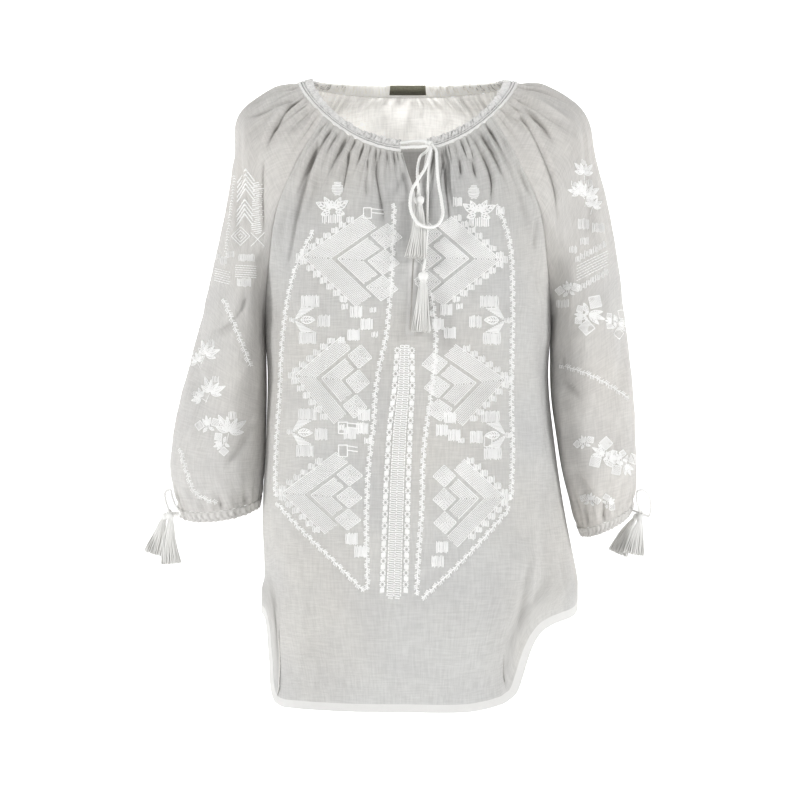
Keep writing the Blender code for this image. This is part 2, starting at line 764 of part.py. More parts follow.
def solid_from_rings(name, rings, material, closed):
    """A closed solid from a chain of closed outlines, capped at both ends or joined round."""
    size = len(rings[0])
    points = np.concatenate(rings)
    faces = []
    steps = len(rings) if closed else len(rings) - 1
    for k in range(steps):
        a = k * size
        b = (k + 1) % len(rings) * size
        for j in range(size):
            n = (j + 1) % size
            faces.append((a + j, a + n, b + n, b + j))
    if not closed:
        faces.append(tuple(reversed(range(size))))
        faces.append(tuple(range((len(rings) - 1) * size, len(rings) * size)))
    mesh = bpy.data.meshes.new(name)
    mesh.from_pydata((points * MM).tolist(), [], faces)
    made = bmesh.new()
    made.from_mesh(mesh)
    bmesh.ops.recalc_face_normals(made, faces=made.faces)
    if made.calc_volume(signed=True) < 0:
        bmesh.ops.reverse_faces(made, faces=made.faces)
    made.to_mesh(mesh)
    made.free()
    return link(name, mesh, material)



# Ties. Their lines are given as x, z, and the height off the cloth in front of the body.
Lying = namedtuple("Lying", "x z off")
TOUCH = 0.35
NECK_KNOT = Lying(25.5, -82, 9.3)
NECK_KNOT_SIZE = 11.0
STRAND_UPPER = [Lying(5, -76.5, 4), Lying(13, -76.5, 6.5)]
STRAND_LOWER = [Lying(5, -83.4, 4), Lying(13, -83.6, 6.5)]
NECK_LOOP = [
    Lying(23.5, -97, 13.5),
    Lying(19.5, -109, 15.5),
    Lying(12, -122, 18),
    Lying(5, -134, 18),
    Lying(2, -148, 18),
    Lying(4, -163, 18.5),
    Lying(11, -174, 19.5),
    Lying(22, -179, 19.5),
    Lying(33, -176, 17),
    Lying(38.5, -166, 15),
    Lying(38, -150, 12),
    Lying(35, -131, 10.5),
    Lying(33, -110, 10.5),
    Lying(32.5, -97, 11),
]
SHORT_END = [Lying(14, -95, 7.5), Lying(11, -106, 6), Lying(10.5, -123, 6.5), Lying(12.5, -142, 9)]
SHORT_TASSEL = [Lying(12.0, -178, 10.5), Lying(8.5, -214, 10.5)]
LONG_END = [
    Lying(25.5, -98, 5.2),
    Lying(23.8, -108, 4.4),
    Lying(22.6, -128, 3.8),
    Lying(21.6, -155, 3.6),
    Lying(21.2, -180, 3.2),
    Lying(19.8, -205, 3.0),
    Lying(17, -229, 5.5),
]
LONG_TASSEL = [Lying(16.0, -262, 8.5), Lying(14.4, -298, 8.5)]

# Which way each cord leaves the neck knot
NECK_LEAVES = {
    "upper": Point(-0.8, 0.1, 0.6),
    "lower": Point(-0.98, 0.1, -0.15),
    "short": Point(-0.55, 0.1, -0.83),
    "long": Point(0.1, 0.4, -0.9),
    "loop_start": Point(0.0, -0.75, -0.66),
    "loop_end": Point(0.75, -0.3, -0.6),
}

# The cuffs' ties, in x, y and z. root is where on the casing the cord comes out, as a side of the sleeve.
CuffTie = namedtuple("CuffTie", "name hand root knot loop outer inner")
CUFF_KNOT_SIZE = 8.5
CUFF_TIES = [
    CuffTie(
        name="right",
        hand=-1,
        root=0.12,
        knot=Point(-280, -17, -506),
        loop=[
            Point(-284.5, -20, -491),
            Point(-284, -21, -481.5),
            Point(-279.5, -21.5, -479),
            Point(-276, -24, -488),
            Point(-270.5, -29, -500),
            Point(-266.5, -29, -506),
            Point(-269, -24, -509.5),
        ],
        outer=[Point(-286, -12.5, -512.5), Point(-292, -10, -532), Point(-299.5, -7, -556)],
        inner=[Point(-278, -24.5, -512), Point(-279, -30, -538), Point(-276.5, -33, -566)],
    ),
    CuffTie(
        name="left",
        hand=1,
        root=0.12,
        knot=Point(273, -16, -507),
        loop=[
            Point(268, -26, -492),
            Point(269, -27, -480.5),
            Point(278, -25, -480.5),
            Point(284, -23, -492),
            Point(284.5, -20, -505),
            Point(282.5, -18, -510.5),
        ],
        outer=[Point(272, -23.5, -513.5), Point(267.5, -29, -532), Point(263.5, -32, -555)],
        inner=[Point(267, -11, -513.5), Point(256, -11, -532), Point(246, -13, -555)],
    ),
]


def lie_on(front, points):
    """Moves lying points out in front of the body's cloth or the casing behind them."""
    cloth = [front.points(np.linspace(-0.5, 0.5, 41), row) for row in np.linspace(0, 420, 141)]
    angles = np.linspace(-25, 32, 58)
    casing = [neck_point(angles, np.full(58, down), np.full(58, 1.0)) for down in range(0, 19, 2)]
    cloud = np.concatenate(cloth + casing)
    placed = []
    for p in points:
        reach = (cloud[:, 0] - p.x) ** 2 + (cloud[:, 2] - p.z) ** 2
        near = np.argsort(reach)[:4]
        weight = 1 / (reach[near] + 0.01)
        y = float((cloud[near, 1] * weight).sum() / weight.sum())
        placed.append(Point(p.x, y - p.off, p.z))
    return placed


def spaced(points, step, straight_ends=0):
    """The smooth line through points, with a point about every step millimetres and short straight ends."""
    points = np.array(points, float)
    knots = np.concatenate([[0], np.cumsum(np.linalg.norm(np.diff(points, axis=0), axis=1))])
    places = np.linspace(straight_ends, knots[-1] - straight_ends, max(int(round(knots[-1] / step)), 2) + 1)
    if straight_ends:
        places = np.concatenate([[0], places, [knots[-1]]])
    return through(knots, points, places)


def build_cord(name, points, diameter, material):
    curve = bpy.data.curves.new(name, "CURVE")
    curve.dimensions = "3D"
    curve.bevel_depth = diameter / 2 * MM
    curve.bevel_resolution = 2
    curve.use_fill_caps = True
    line = spaced(points, diameter * 2.4, min(diameter * 0.6, 2))
    spline = curve.splines.new("POLY")
    spline.points.add(len(line) - 1)
    for point, place in zip(spline.points, line):
        point.co = (*(place * MM), 1)
    return link(name, curve, material)


def build_knot(name, centre, size, material):
    """A small tight knot, as the rounded lump it makes."""
    made = bmesh.new()
    bmesh.ops.create_icosphere(made, subdivisions=2, radius=0.5 * MM)
    bmesh.ops.scale(made, vec=Vector(size), verts=made.verts)
    bmesh.ops.translate(made, vec=Vector(centre) * MM, verts=made.verts)
    mesh = bpy.data.meshes.new(name)
    made.to_mesh(mesh)
    made.free()
    return link(name, mesh, material)


# A tassel's bound head, as its radius on the way down from its top
Turned = namedtuple("Turned", "down radius")
NECK_HEAD = [
    Turned(0, 1.4),
    Turned(1.6, 4.2),
    Turned(5.2, 5.4),
    Turned(9, 4.2),
    Turned(10.4, 3.2),
    Turned(12.5, 3.8),
    Turned(18, 5.6),
]
CUFF_HEAD = [
    Turned(0, 1.1),
    Turned(1.3, 3.2),
    Turned(4, 4.2),
    Turned(7, 3.3),
    Turned(8.2, 2.6),
    Turned(10, 3.2),
    Turned(14, 4.6),
]

# How wide and how flat a skirt is: half width in its middle and at its end, and depth over width
Skirt = namedtuple("Skirt", "middle end flatness")
SHORT_SKIRT = Skirt(7.5, 12.0, 0.5)
LONG_SKIRT = Skirt(7.5, 10.5, 0.6)
CUFF_SKIRT = Skirt(7.4, 11.5, 0.5)


def build_tassel(name, line, head, skirt, material, seed):
    """A tassel along a line of three points: a bound head and a skirt of locks that open a little."""
    line = spaced(line, 4)
    flatten = skirt.flatness
    length = np.concatenate([[0], np.cumsum(np.linalg.norm(np.diff(line, axis=0), axis=1))])

    def frame(down):
        here = np.array([np.interp(down, length, line[:, k]) for k in range(3)])
        ahead = np.array([np.interp(min(down + 1, length[-1]), length, line[:, k]) for k in range(3)])
        before = np.array([np.interp(max(down - 1, 0), length, line[:, k]) for k in range(3)])
        axis = unit(ahead - before)
        across = unit(np.cross(axis, [0.0, -1.0, 0.0]))
        return here, across, unit(np.cross(across, axis))

    made = bmesh.new()
    rings = []
    for turned in head:
        here, across, facing = frame(turned.down)
        flat = 1 - (1 - flatten) * smooth((turned.down - head[-2].down) / 4)
        ring = []
        for k in range(TASSEL_LOCKS):
            turn = 2 * math.pi * k / TASSEL_LOCKS
            out = across * math.cos(turn) + facing * flat * math.sin(turn)
            place = here + out * turned.radius
            ring.append(made.verts.new(Vector(place) * MM))
        rings.append(ring)
    here, across, facing = frame(head[-1].down)
    hub = []
    for k in range(TASSEL_LOCKS):
        turn = 2 * math.pi * k / TASSEL_LOCKS
        place = here + (across * math.cos(turn) + facing * flatten * math.sin(turn)) * head[-1].radius * 0.3
        hub.append(made.verts.new(Vector(place) * MM))
    made.faces.new(list(reversed(rings[0])))
    for first, second in zip(rings, rings[1:]):
        for k in range(TASSEL_LOCKS):
            n = (k + 1) % TASSEL_LOCKS
            made.faces.new((first[k], first[n], second[n], second[k]))
    roots = []
    for k in range(TASSEL_LOCKS):
        n = (k + 1) % TASSEL_LOCKS
        roots.append(made.faces.new((rings[-1][k], rings[-1][n], hub[n], hub[k])))
    made.faces.new(hub)
    bmesh.ops.inset_individual(made, faces=roots, thickness=0.12 * MM, use_even_offset=True)
    total = length[-1]
    for step in (0.45, 1.0):
        extruded = bmesh.ops.extrude_discrete_faces(made, faces=roots)["faces"]
        for k, face in enumerate(extruded):
            turn = 2 * math.pi * (k + 0.5) / TASSEL_LOCKS
            down = head[-1].down + (total - head[-1].down) * step
            if step == 1.0:
                down -= uneven(k + seed, 0, 4)
            before = head[-1].down if step < 0.5 else head[-1].down + (total - head[-1].down) * 0.45
            here, across, facing = frame(min(down, total))
            old, _, _ = frame(before)
            wide = skirt.middle if step < 0.5 else skirt.end
            was = head[-1].radius if step < 0.5 else skirt.middle
            push = across * math.cos(turn) + facing * flatten * math.sin(turn)
            centre = face.calc_center_median()
            target = (here + push * wide * 0.68) * MM
            grow = wide / was * 0.97
            for vert in face.verts:
                vert.co = Vector(target) + (vert.co - centre) * grow
        roots = extruded
    bmesh.ops.recalc_face_normals(made, faces=made.faces)
    mesh = bpy.data.meshes.new(name)
    made.to_mesh(mesh)
    made.free()
    return link(name, mesh, material)


def fabric(name, colour, roughness):
    material = bpy.data.materials.new(name)
    material.use_nodes = True
    shader = material.node_tree.nodes["Principled BSDF"]
    shader.inputs["Base Color"].default_value = (*colour, 1)
    shader.inputs["Roughness"].default_value = roughness
    shader.inputs["Metallic"].default_value = 0
    return material


def off_knot(centre, size, towards):
    """The points just clear of a round knot and a little further, on the way towards another point."""
    centre = np.array(centre, float)
    way = unit(np.array(towards, float) - centre)
    return [centre + way * (size / 2 + TOUCH), centre + way * (size / 2 + TOUCH + 2.5)]


def follow_on(line, rest):
    """A line that starts just clear of another's end."""
    end = np.array(line[-1], float)
    return [end + unit(np.array(rest[0], float) - end) * TOUCH] + list(rest)


def build_neck_tie(front, material):
    knot = np.array(lie_on(front, [NECK_KNOT])[0])
    build_knot("neck_tie_knot", knot, (NECK_KNOT_SIZE,) * 3, material)
    leave = {name: off_knot(knot, NECK_KNOT_SIZE, knot + np.array(way)) for name, way in NECK_LEAVES.items()}
    for name, line, down in (("upper", STRAND_UPPER, 5.0), ("lower", STRAND_LOWER, 12.5)):
        start = neck_point(np.float64(CASING_ENDS[1]), down, 0.4) + [TOUCH + 0.3, 0, 0]
        line = [start, start + [2.5, 0, 0]] + lie_on(front, line) + leave[name][::-1]
        build_cord(f"neck_tie_strand_{name}", line, CORD, material)
    loop = leave["loop_start"] + lie_on(front, NECK_LOOP) + leave["loop_end"][::-1]
    build_cord("neck_tie_loop", loop, CORD, material)
    short = leave["short"] + lie_on(front, SHORT_END)
    build_cord("neck_tie_short_end", short, CORD * 0.9, material)
    hanging = follow_on(short, lie_on(front, SHORT_TASSEL))
    build_tassel("neck_tassel_short", hanging, NECK_HEAD, SHORT_SKIRT, material, 0)
    long = leave["long"] + lie_on(front, LONG_END)
    build_cord("neck_tie_long_end", long, CORD * 0.9, material)
    hanging = follow_on(long, lie_on(front, LONG_TASSEL))
    build_tassel("neck_tassel_long", hanging, NECK_HEAD, LONG_SKIRT, material, 20)


def build_cuff_tie(tie, material):
    size = CUFF_KNOT_SIZE
    name = f"cuff_{tie.name}"
    build_knot(f"{name}_tie_knot", tie.knot, (size,) * 3, material)
    root = cuff_point(tie.hand, np.float64(tie.root), 6.0, 2.1)
    build_cord(f"{name}_tie_root", [root] + off_knot(tie.knot, size, root)[:1], CUFF_CORD, material)
    loop = off_knot(tie.knot, size, tie.loop[0]) + tie.loop + off_knot(tie.knot, size, tie.loop[-1])[::-1]
    build_cord(f"{name}_tie_loop", loop, CUFF_CORD, material)
    for k, (which, line) in enumerate((("outer", tie.outer), ("inner", tie.inner))):
        line = off_knot(tie.knot, size, line[0])[:1] + line
        build_tassel(f"{name}_tassel_{which}", line, CUFF_HEAD, CUFF_SKIRT, material, 40 + 10 * k)


def build_label(material):
    """A small bare label inside the back of the neckline, hanging from the casing."""
    rings = []
    for side in np.linspace(-0.13, 0.13, 7):
        ring = []
        for down, height in ((2, -2.1), (2, -2.9), (15, -2.9), (15, -2.1)):
            ring.append(neck_point(np.float64(180 - 85 * side), np.float64(down), np.float64(height)))
        rings.append(np.array(ring))
    return solid_from_rings("label", rings, material, closed=False)


def build():
    for item in list(bpy.data.objects):
        bpy.data.objects.remove(item)
    cotton = fabric("cotton", (0.86, 0.87, 0.88), 0.85)
    yarn = fabric("yarn", (0.9, 0.9, 0.88), 0.8)
    tape = fabric("label_tape", (0.32, 0.32, 0.24), 0.8)

    front = body_panel(True)
    back = body_panel(False)
    sleeves = {hand: sleeve_panel(hand) for hand in (-1, 1)}
    front.neighbours = [(sleeves[-1], 1), (sleeves[1], 1)]
    back.neighbours = [(sleeves[-1], -1), (sleeves[1], -1)]
    sleeves[1].neighbours = [(back, 1), (front, 1)]
    sleeves[-1].neighbours = [(back, -1), (front, -1)]

    build_front(front, cotton)
    build_back(back, cotton)
    build_sleeve(sleeves[1], 1, "sleeve_left", cotton)
    build_sleeve(sleeves[-1], -1, "sleeve_right", cotton)
    build_neck_casing(cotton)
    build_cuff_casing(1, "cuff_left", cotton)
    build_cuff_casing(-1, "cuff_right", cotton)
    build_label(tape)

    build_neck_tie(front, yarn)
    for tie in CUFF_TIES:
        build_cuff_tie(tie, yarn)


build()
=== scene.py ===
"""The looks of a woman's peasant blouse of thin white cotton, filled out as it is worn, with nobody in it.

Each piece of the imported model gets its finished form: cloth with its gathers and creases, ruched casings,
white stitching and embroidery, twisted drawcords and tassels of yarn.

Tables are in millimetres. X is to the wearer's left, Y to the back, Z up, and the origin is in the middle of
the neckline at the height of the shoulders. The first tables are those of the model's own source.
"""

import math
from collections import namedtuple

import bmesh
import bpy
import numpy as np
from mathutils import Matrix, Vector
from mathutils.bvhtree import BVHTree


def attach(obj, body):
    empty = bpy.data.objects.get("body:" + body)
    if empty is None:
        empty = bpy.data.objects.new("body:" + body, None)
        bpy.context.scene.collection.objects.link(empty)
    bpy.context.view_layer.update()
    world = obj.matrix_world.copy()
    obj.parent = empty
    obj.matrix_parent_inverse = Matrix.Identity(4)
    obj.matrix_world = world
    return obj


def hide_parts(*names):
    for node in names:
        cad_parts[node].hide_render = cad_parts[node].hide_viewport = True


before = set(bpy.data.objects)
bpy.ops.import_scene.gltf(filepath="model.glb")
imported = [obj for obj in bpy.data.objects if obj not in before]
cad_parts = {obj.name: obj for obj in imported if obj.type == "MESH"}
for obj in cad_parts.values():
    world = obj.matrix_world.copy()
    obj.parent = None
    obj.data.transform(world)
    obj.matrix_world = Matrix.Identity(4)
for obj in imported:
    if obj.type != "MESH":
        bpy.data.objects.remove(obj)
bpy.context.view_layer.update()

MM = 0.001


def table(kind, *rows):
    """The rows of a table, each as one of a kind of named tuple."""
    return [kind(*row) for row in rows]


# Neckline: the top edge of its casing, seen from above as two half ellipses
NECK_HALF_WIDTH = 112.0
NECK_FRONT_DEPTH = 68.0
NECK_BACK_DEPTH = 64.0
NECK_FRONT_DROP = 77.0
NECK_BACK_RISE = 3.0
NECK_SHOULDER_RISE = 3.0
NECK_DROP_POWER = 1.4
NECK_SHOULDER_SLOPE = 10.0
NECK_CENTRE_SLOPE = 55.0
CASING_HEIGHT = 18.0
CASING_ENDS = (11.0, 356.0)
SEAM_GAP = 0.3

# Where the raglan seams and the slit start on the neckline, in degrees from centre front
FRONT_SEAM_ANGLE = 52.0
BACK_SEAM_ANGLE = 128.0
SLIT_ANGLE = 3.5
SLIT_LENGTH = 218.0
SLIT_V_LENGTH = 52.0
SLIT_V_HALF_WIDTH = 14.5
SLIT_HALF_GAP = 0.7

Point = namedtuple("Point", "x y z")

# The raglan seams of the wearer's left side, from neckline to underarm
RAGLAN_FRONT = table(Point, (125, -68, -92), (150, -68, -148), (162, -46, -215))
RAGLAN_BACK = table(Point, (122, 76, -52), (147, 84, -130), (162, 54, -212))
UNDERARM = Point(168.3, 4, -279)
SEAM_ROWS = [0, 38, 88, 150, 215]

# Body sections above the underarm: middle of the row, and how far round the arc goes to each side
Yoke = namedtuple("Yoke", "x y z sweep")
FRONT_YOKE = table(Yoke, (8.5, -92, -125, 55), (8, -108, -170, 60), (5, -121, -230, 70))
BACK_YOKE = table(Yoke, (0, 82, -26, 55), (0, 96, -82, 62), (0, 104, -168, 74))

# Body sections from the underarm down: mid x, half width, depths, and the sway of centre front
Girth = namedtuple("Girth", "z mid half front back sway")
GIRTHS = table(
    Girth,
    (-345, 0, 165.5, 128, 99, -1), (-430, 3, 170.5, 130, 99, -4),
    (-515, 8.25, 178.25, 133, 105, -10), (-578, 15.5, 183.5, 135, 111, -15),
)
HEM_GIRTH = Girth(-726, 14.5, 186, 137, 114, -13)

# The hem as it is turned up, and the band of it that shows
TURN_UP = 16.0
HEM_BAND = 10.0

# Hem heights: side is how far round from centre (0) to the side seam (1)
Hem = namedtuple("Hem", "side z")
FRONT_HEM_LEFT = table(
    Hem,
    (0, -726), (0.28, -725), (0.335, -722), (0.40, -716), (0.455, -703), (0.483, -684),
    (0.509, -665), (0.537, -651), (0.571, -641.5), (0.636, -634), (0.711, -630.5),
    (0.804, -628), (0.88, -625.5), (1, -617.5),
)
FRONT_HEM_RIGHT = table(
    Hem,
    (0, -726), (0.53, -726.5), (0.61, -726.5), (0.655, -724.5), (0.688, -719), (0.709, -709),
    (0.722, -695), (0.732, -677), (0.75, -655), (0.79, -634), (0.883, -623), (1, -617),
)
BACK_HEM = table(
    Hem,
    (0, -706), (0.3, -702), (0.42, -688), (0.5, -664), (0.58, -643), (0.72, -629), (1, -617.5),
)

# Sleeve sections above the underarm: the overarm line, and how far round the arc goes
Cap = namedtuple("Cap", "x y z depth sweep")
LEFT_CAP = table(Cap, (165, 2, -4, 72, 84), (206.5, 3, -33, 77, 96), (221, 3, -92, 66, 128))
RIGHT_CAP = table(Cap, (162, 2, -7, 72, 84), (198.5, 3, -36.5, 77, 96), (203.5, 3, -92, 66, 128))

# Sleeve rings from the underarm down: outer and inner line, half depth front to back, front lower than back
Ring = namedtuple("Ring", "outer_x outer_z inner_x inner_z depth droop")
LEFT_RINGS = table(
    Ring,
    (237, -158, 168.3, -279, 63, 0), (251, -236, 168.0, -322, 60, 0),
    (260, -310, 169.0, -366, 58, 0), (265, -385, 175.0, -412, 57, 1),
    (270, -454, 185.0, -470, 53, 5), (266, -493, 199.5, -521.5, 43, 8),
)
RIGHT_RINGS = table(
    Ring,
    (216, -158, 168.3, -279, 63, 0), (234, -236, 167.6, -322, 60, 0),
    (252, -310, 167.0, -366, 58, 2), (269, -385, 168.0, -412, 58, 5),
    (281, -456, 169.6, -456, 56, 9), (272, -497, 173.0, -486, 47, 12),
)
CUFF_HEIGHT = 12.0
LEFT_CUFF = Ring(262, -504.5, 205, -532.5, 39, 8)
RIGHT_CUFF = Ring(268, -509, 175.5, -498, 44, 12)

# Soft folds, as lines on a panel: side from -1 to 1 and way down at both ends, half width, and height
Fold = namedtuple("Fold", "side0 down0 side1 down1 width height")
FRONT_FOLDS = table(
    Fold,
    (-0.86, 30, -0.88, 170, 13, -4.5), (0.80, 25, 0.86, 180, 14, -5.0),
    (-0.55, 40, -0.62, 230, 16, 3.0), (0.52, 50, 0.60, 240, 16, 3.0),
    (0.73, 330, 0.56, 590, 12, -5.0), (-0.80, 380, -0.72, 560, 20, -3.5),
    (0.30, 430, 0.27, 630, 26, 3.0),
)
BACK_FOLDS = table(
    Fold,
    (-0.45, 60, -0.52, 330, 20, 3.5), (0.40, 70, 0.50, 360, 20, 3.5),
    (0.02, 260, 0.05, 600, 26, 4.0), (-0.72, 300, -0.66, 560, 18, -4.0),
    (0.70, 330, 0.62, 580, 18, -4.0), (0.22, 40, 0.16, 210, 9, -2.2),
    (-0.20, 50, -0.26, 190, 9, 2.2), (-0.30, 420, -0.22, 660, 12, 2.5),
    (0.34, 400, 0.30, 640, 11, -2.4),
)
SLEEVE_FOLDS = table(
    Fold,
    (0.28, 60, 0.45, 230, 12, -3.5), (-0.30, 60, -0.45, 220, 12, -3.0),
    (0.02, 300, 0.34, 430, 14, -3.5), (-0.25, 330, 0.10, 490, 14, 3.0),
    (-0.60, 300, -0.35, 470, 14, -3.5),
)

# Creases as the front view shows them: points in x and z, half width, and height
Crease = namedtuple("Crease", "line width height")
FRONT_CREASES = table(
    Crease,
    ([(-98, -56), (-110, -95), (-123, -141), (-135, -192), (-142, -249)], 3.4, -5.0),
    ([(-88, -60), (-97, -90), (-106, -122), (-112, -160)], 5.5, -2.6),
    ([(-106, -52), (-119, -95), (-133, -141), (-145, -200)], 4.0, 2.6),
    ([(-86, -52), (-98, -80), (-110, -110), (-116, -150)], 4.0, 2.2),
    ([(-71, -78), (-69, -100), (-72, -114), (-76, -140)], 2.0, -3.4),
    ([(-62, -80), (-62, -105), (-64, -130)], 3.4, 1.6),
    ([(-47, -92), (-46, -109), (-48, -124), (-47, -150)], 2.2, -3.0),
    ([(-34, -92), (-36, -113), (-34, -131), (-30, -152), (-26, -180)], 2.2, -3.8),
    ([(-28, -94), (-29, -120), (-24, -150)], 3.5, 1.6),
    ([(104, -57), (113, -74), (127, -97), (134, -119), (144, -138), (152, -158)], 3.6, -5.4),
    ([(112, -55), (124, -80), (139, -108), (149, -140), (155, -180)], 4.0, 2.4),
    ([(149, -160), (148, -180), (147, -205)], 2.0, -2.6),
    ([(82, -76), (90, -99), (95, -117), (95, -140), (94, -160)], 2.0, -3.8),
    ([(86, -74), (95, -98), (100, -117), (100, -140)], 2.6, 2.0),
    ([(89, -70), (96, -83), (103, -97)], 1.8, -3.0),
    ([(74, -78), (75, -101), (77, -122)], 2.4, -2.6),
    ([(50, -90), (44, -107), (43, -125), (46, -155), (48, -185)], 2.4, -4.0),
    ([(56, -88), (51, -107), (50, -128), (53, -160)], 3.0, 2.0),
    ([(43, -93), (37, -112), (34, -135)], 2.2, -3.0),
    ([(60, -86), (60, -105), (58, -128)], 2.4, -2.4),
    ([(-154, -148), (-140, -126), (-126, -104)], 2.0, -2.0),
    ([(138, -556), (131, -601), (124, -647)], 4.0, -3.0),
    ([(146, -540), (140, -600), (137, -640)], 5.0, 2.4),
    ([(176, -540), (180, -575), (186, -608)], 4.0, -2.4),
    ([(157, -294), (160, -374), (166, -454)], 6.0, -2.6),
    ([(148, -330), (150, -400), (152, -470)], 9.0, 1.8),
    ([(-123, -556), (-118, -624), (-125, -703)], 8.0, 1.8),
    ([(-71, -600), (-66, -655), (-71, -722)], 8.0, -1.5),
    ([(48, -595), (54, -650), (56, -722)], 9.0, 1.6),
    ([(-12, -615), (-16, -660), (-12, -722)], 10.0, -1.4),
    ([(93, -556), (97, -669)], 8.0, -1.8),
    ([(-158, -240), (-154, -320), (-156, -390)], 6.0, -2.2),
    ([(-155, -440), (-159, -500), (-158, -570)], 7.0, 2.0),
    ([(-150, -588), (-135, -610), (-122, -640)], 7.0, -1.2),
    ([(-40, -120), (-52, -170), (-55, -215)], 6.0, 1.2),
    ([(60, -120), (70, -165), (72, -200)], 6.0, -1.3),
)
BACK_CREASES = table(
    Crease,
    ([(-70, -56), (-78, -110), (-82, -170), (-84, -240)], 6.0, -3.4),
    ([(-30, -50), (-34, -100), (-32, -160)], 5.0, -3.0),
    ([(24, -50), (28, -110), (24, -190)], 5.5, -3.2),
    ([(66, -58), (74, -112), (80, -178), (84, -250)], 6.0, -3.6),
    ([(-112, -250), (-96, -330), (-88, -420), (-92, -520)], 9.0, -4.0),
    ([(108, -240), (98, -330), (84, -430), (90, -530)], 9.0, -3.8),
    ([(-40, -380), (-30, -470), (-36, -580)], 10.0, -3.0),
    ([(36, -360), (30, -460), (40, -590)], 10.0, -3.2),
    ([(-140, -270), (-120, -290), (-95, -330)], 5.0, -3.0),
    ([(140, -265), (118, -290), (92, -325)], 5.0, -3.0),
    ([(-178, -70), (-192, -130), (-196, -220)], 6.0, -3.4),
    ([(176, -70), (186, -130), (190, -220)], 6.0, -3.4),
    ([(-180, -300), (-205, -350), (-236, -380)], 6.0, -3.4),
    ([(184, -310), (212, -350), (240, -372)], 6.0, -3.4),
    ([(-186, -410), (-204, -450), (-226, -478)], 5.5, -3.0),
    ([(190, -420), (210, -455), (236, -480)], 5.5, -3.0),
)
SLEEVE_CREASES = table(
    Crease,
    ([(-124, -5), (-150, -10), (-172, -18), (-190, -32)], 3.0, -5.4),
    ([(-122, -10), (-150, -17), (-178, -30)], 4.0, 2.4),
    ([(-126, -17), (-150, -29), (-172, -38), (-193, -44)], 3.0, -5.6),
    ([(-118, -18), (-134, -28), (-146, -40)], 3.0, -4.4),
    ([(-122, -20), (-143, -38), (-155, -62), (-166, -90)], 2.2, -4.2),
    ([(-128, -20), (-150, -38), (-166, -66), (-174, -100)], 4.5, 2.8),
    ([(-150, -36), (-172, -52), (-188, -76), (-198, -100)], 6.5, -3.0),
    ([(-166, -92), (-168, -130), (-166, -190)], 2.2, -3.2),
    ([(-178, -60), (-194, -84), (-204, -120)], 5.0, 2.0),
    ([(-183, -248), (-204, -283), (-236, -300)], 4.5, -4.2),
    ([(-181, -306), (-197, -352), (-230, -381)], 5.5, 2.4),
    ([(-179, -390), (-195, -428), (-216, -455)], 5.5, -4.4),
    ([(-175, -293), (-181, -397), (-187, -460)], 5.0, 2.4),
    ([(-256, -400), (-246, -440), (-240, -480)], 5.0, 1.8),
    ([(126, -5), (150, -9), (172, -15), (198, -25)], 3.0, -5.6),
    ([(124, -10), (150, -17), (178, -28)], 4.0, 2.4),
    ([(130, -22), (152, -36), (172, -50), (194, -66)], 4.2, -4.8),
    ([(128, -16), (152, -26), (176, -42), (196, -52)], 4.0, 2.6),
    ([(122, -18), (138, -34), (155, -56), (172, -82)], 3.6, -5.2),
    ([(120, -24), (134, -50), (148, -76), (156, -94), (168, -128), (172, -176)], 2.0, -3.6),
    ([(126, -24), (142, -50), (156, -78), (170, -112), (180, -160)], 4.0, 2.8),
    ([(180, -90), (192, -110), (198, -150)], 5.0, 2.0),
    ([(176, -310), (184, -351), (205, -374)], 4.5, -4.6),
    ([(182, -374), (205, -409), (223, -450)], 6.0, 2.8),
    ([(192, -450), (211, -485), (226, -507)], 4.5, -4.2),
    ([(234, -258), (214, -290), (184, -306)], 5.5, 2.4),
    ([(178, -330), (184, -420), (192, -490)], 5.0, 2.2),
    ([(252, -390), (240, -430), (244, -470)], 6.0, -1.8),
)

# Gathers of the thin cloth: how many, how high, and how far down they last
Gather = namedtuple("Gather", "count height shortest longest seed")
FRONT_GATHERS = Gather(30, 6.0, 40, 135, 3)
BACK_GATHERS = Gather(26, 3.6, 32, 100, 17)
CAP_GATHERS = Gather(19, 6.2, 40, 150, 31)
CUFF_GATHERS = Gather(30, 4.6, 18, 66, 47)

# Tucks: narrow valleys that start at a casing, between the gathers
FRONT_TUCKS = Gather(46, 3.6, 12, 62, 211)
BACK_TUCKS = Gather(40, 1.8, 12, 50, 233)
CAP_TUCKS = Gather(30, 3.4, 14, 80, 257)
CUFF_TUCKS = Gather(44, 2.6, 8, 38, 271)
TUCK_WIDTH = 1.25
TUCK_SPREAD = 0.055

# The casings' outlines: down from the top edge, height off the middle of the cloth, and how much it ruches
Outline = namedtuple("Outline", "down height ruche")
NECK_OUTLINE = table(
    Outline,
    (0.5, -0.7, 0.2), (0.0, 0.0, 0.5), (0.5, 0.8, 0.8), (1.7, 1.2, 1.0), (3.4, 1.0, 0.9),
    (5.4, 1.2, 1.0), (7.4, 1.0, 0.9), (9.2, 1.1, 0.9), (10.2, 0.2, 0.5), (10.8, -0.3, 0.2),
    (11.3, 1.2, 0.25), (12.4, 2.1, 0.3), (13.5, 1.3, 0.25), (14.0, -0.2, 0.15),
    (14.5, 1.3, 0.25), (15.6, 2.2, 0.3), (16.8, 1.6, 0.25), (17.8, 0.5, 0.3), (18.0, -0.6, 0.2),
    (15.0, -1.1, 0.4), (10.0, -1.2, 0.8), (5.0, -1.2, 0.8), (1.8, -1.1, 0.5),
)
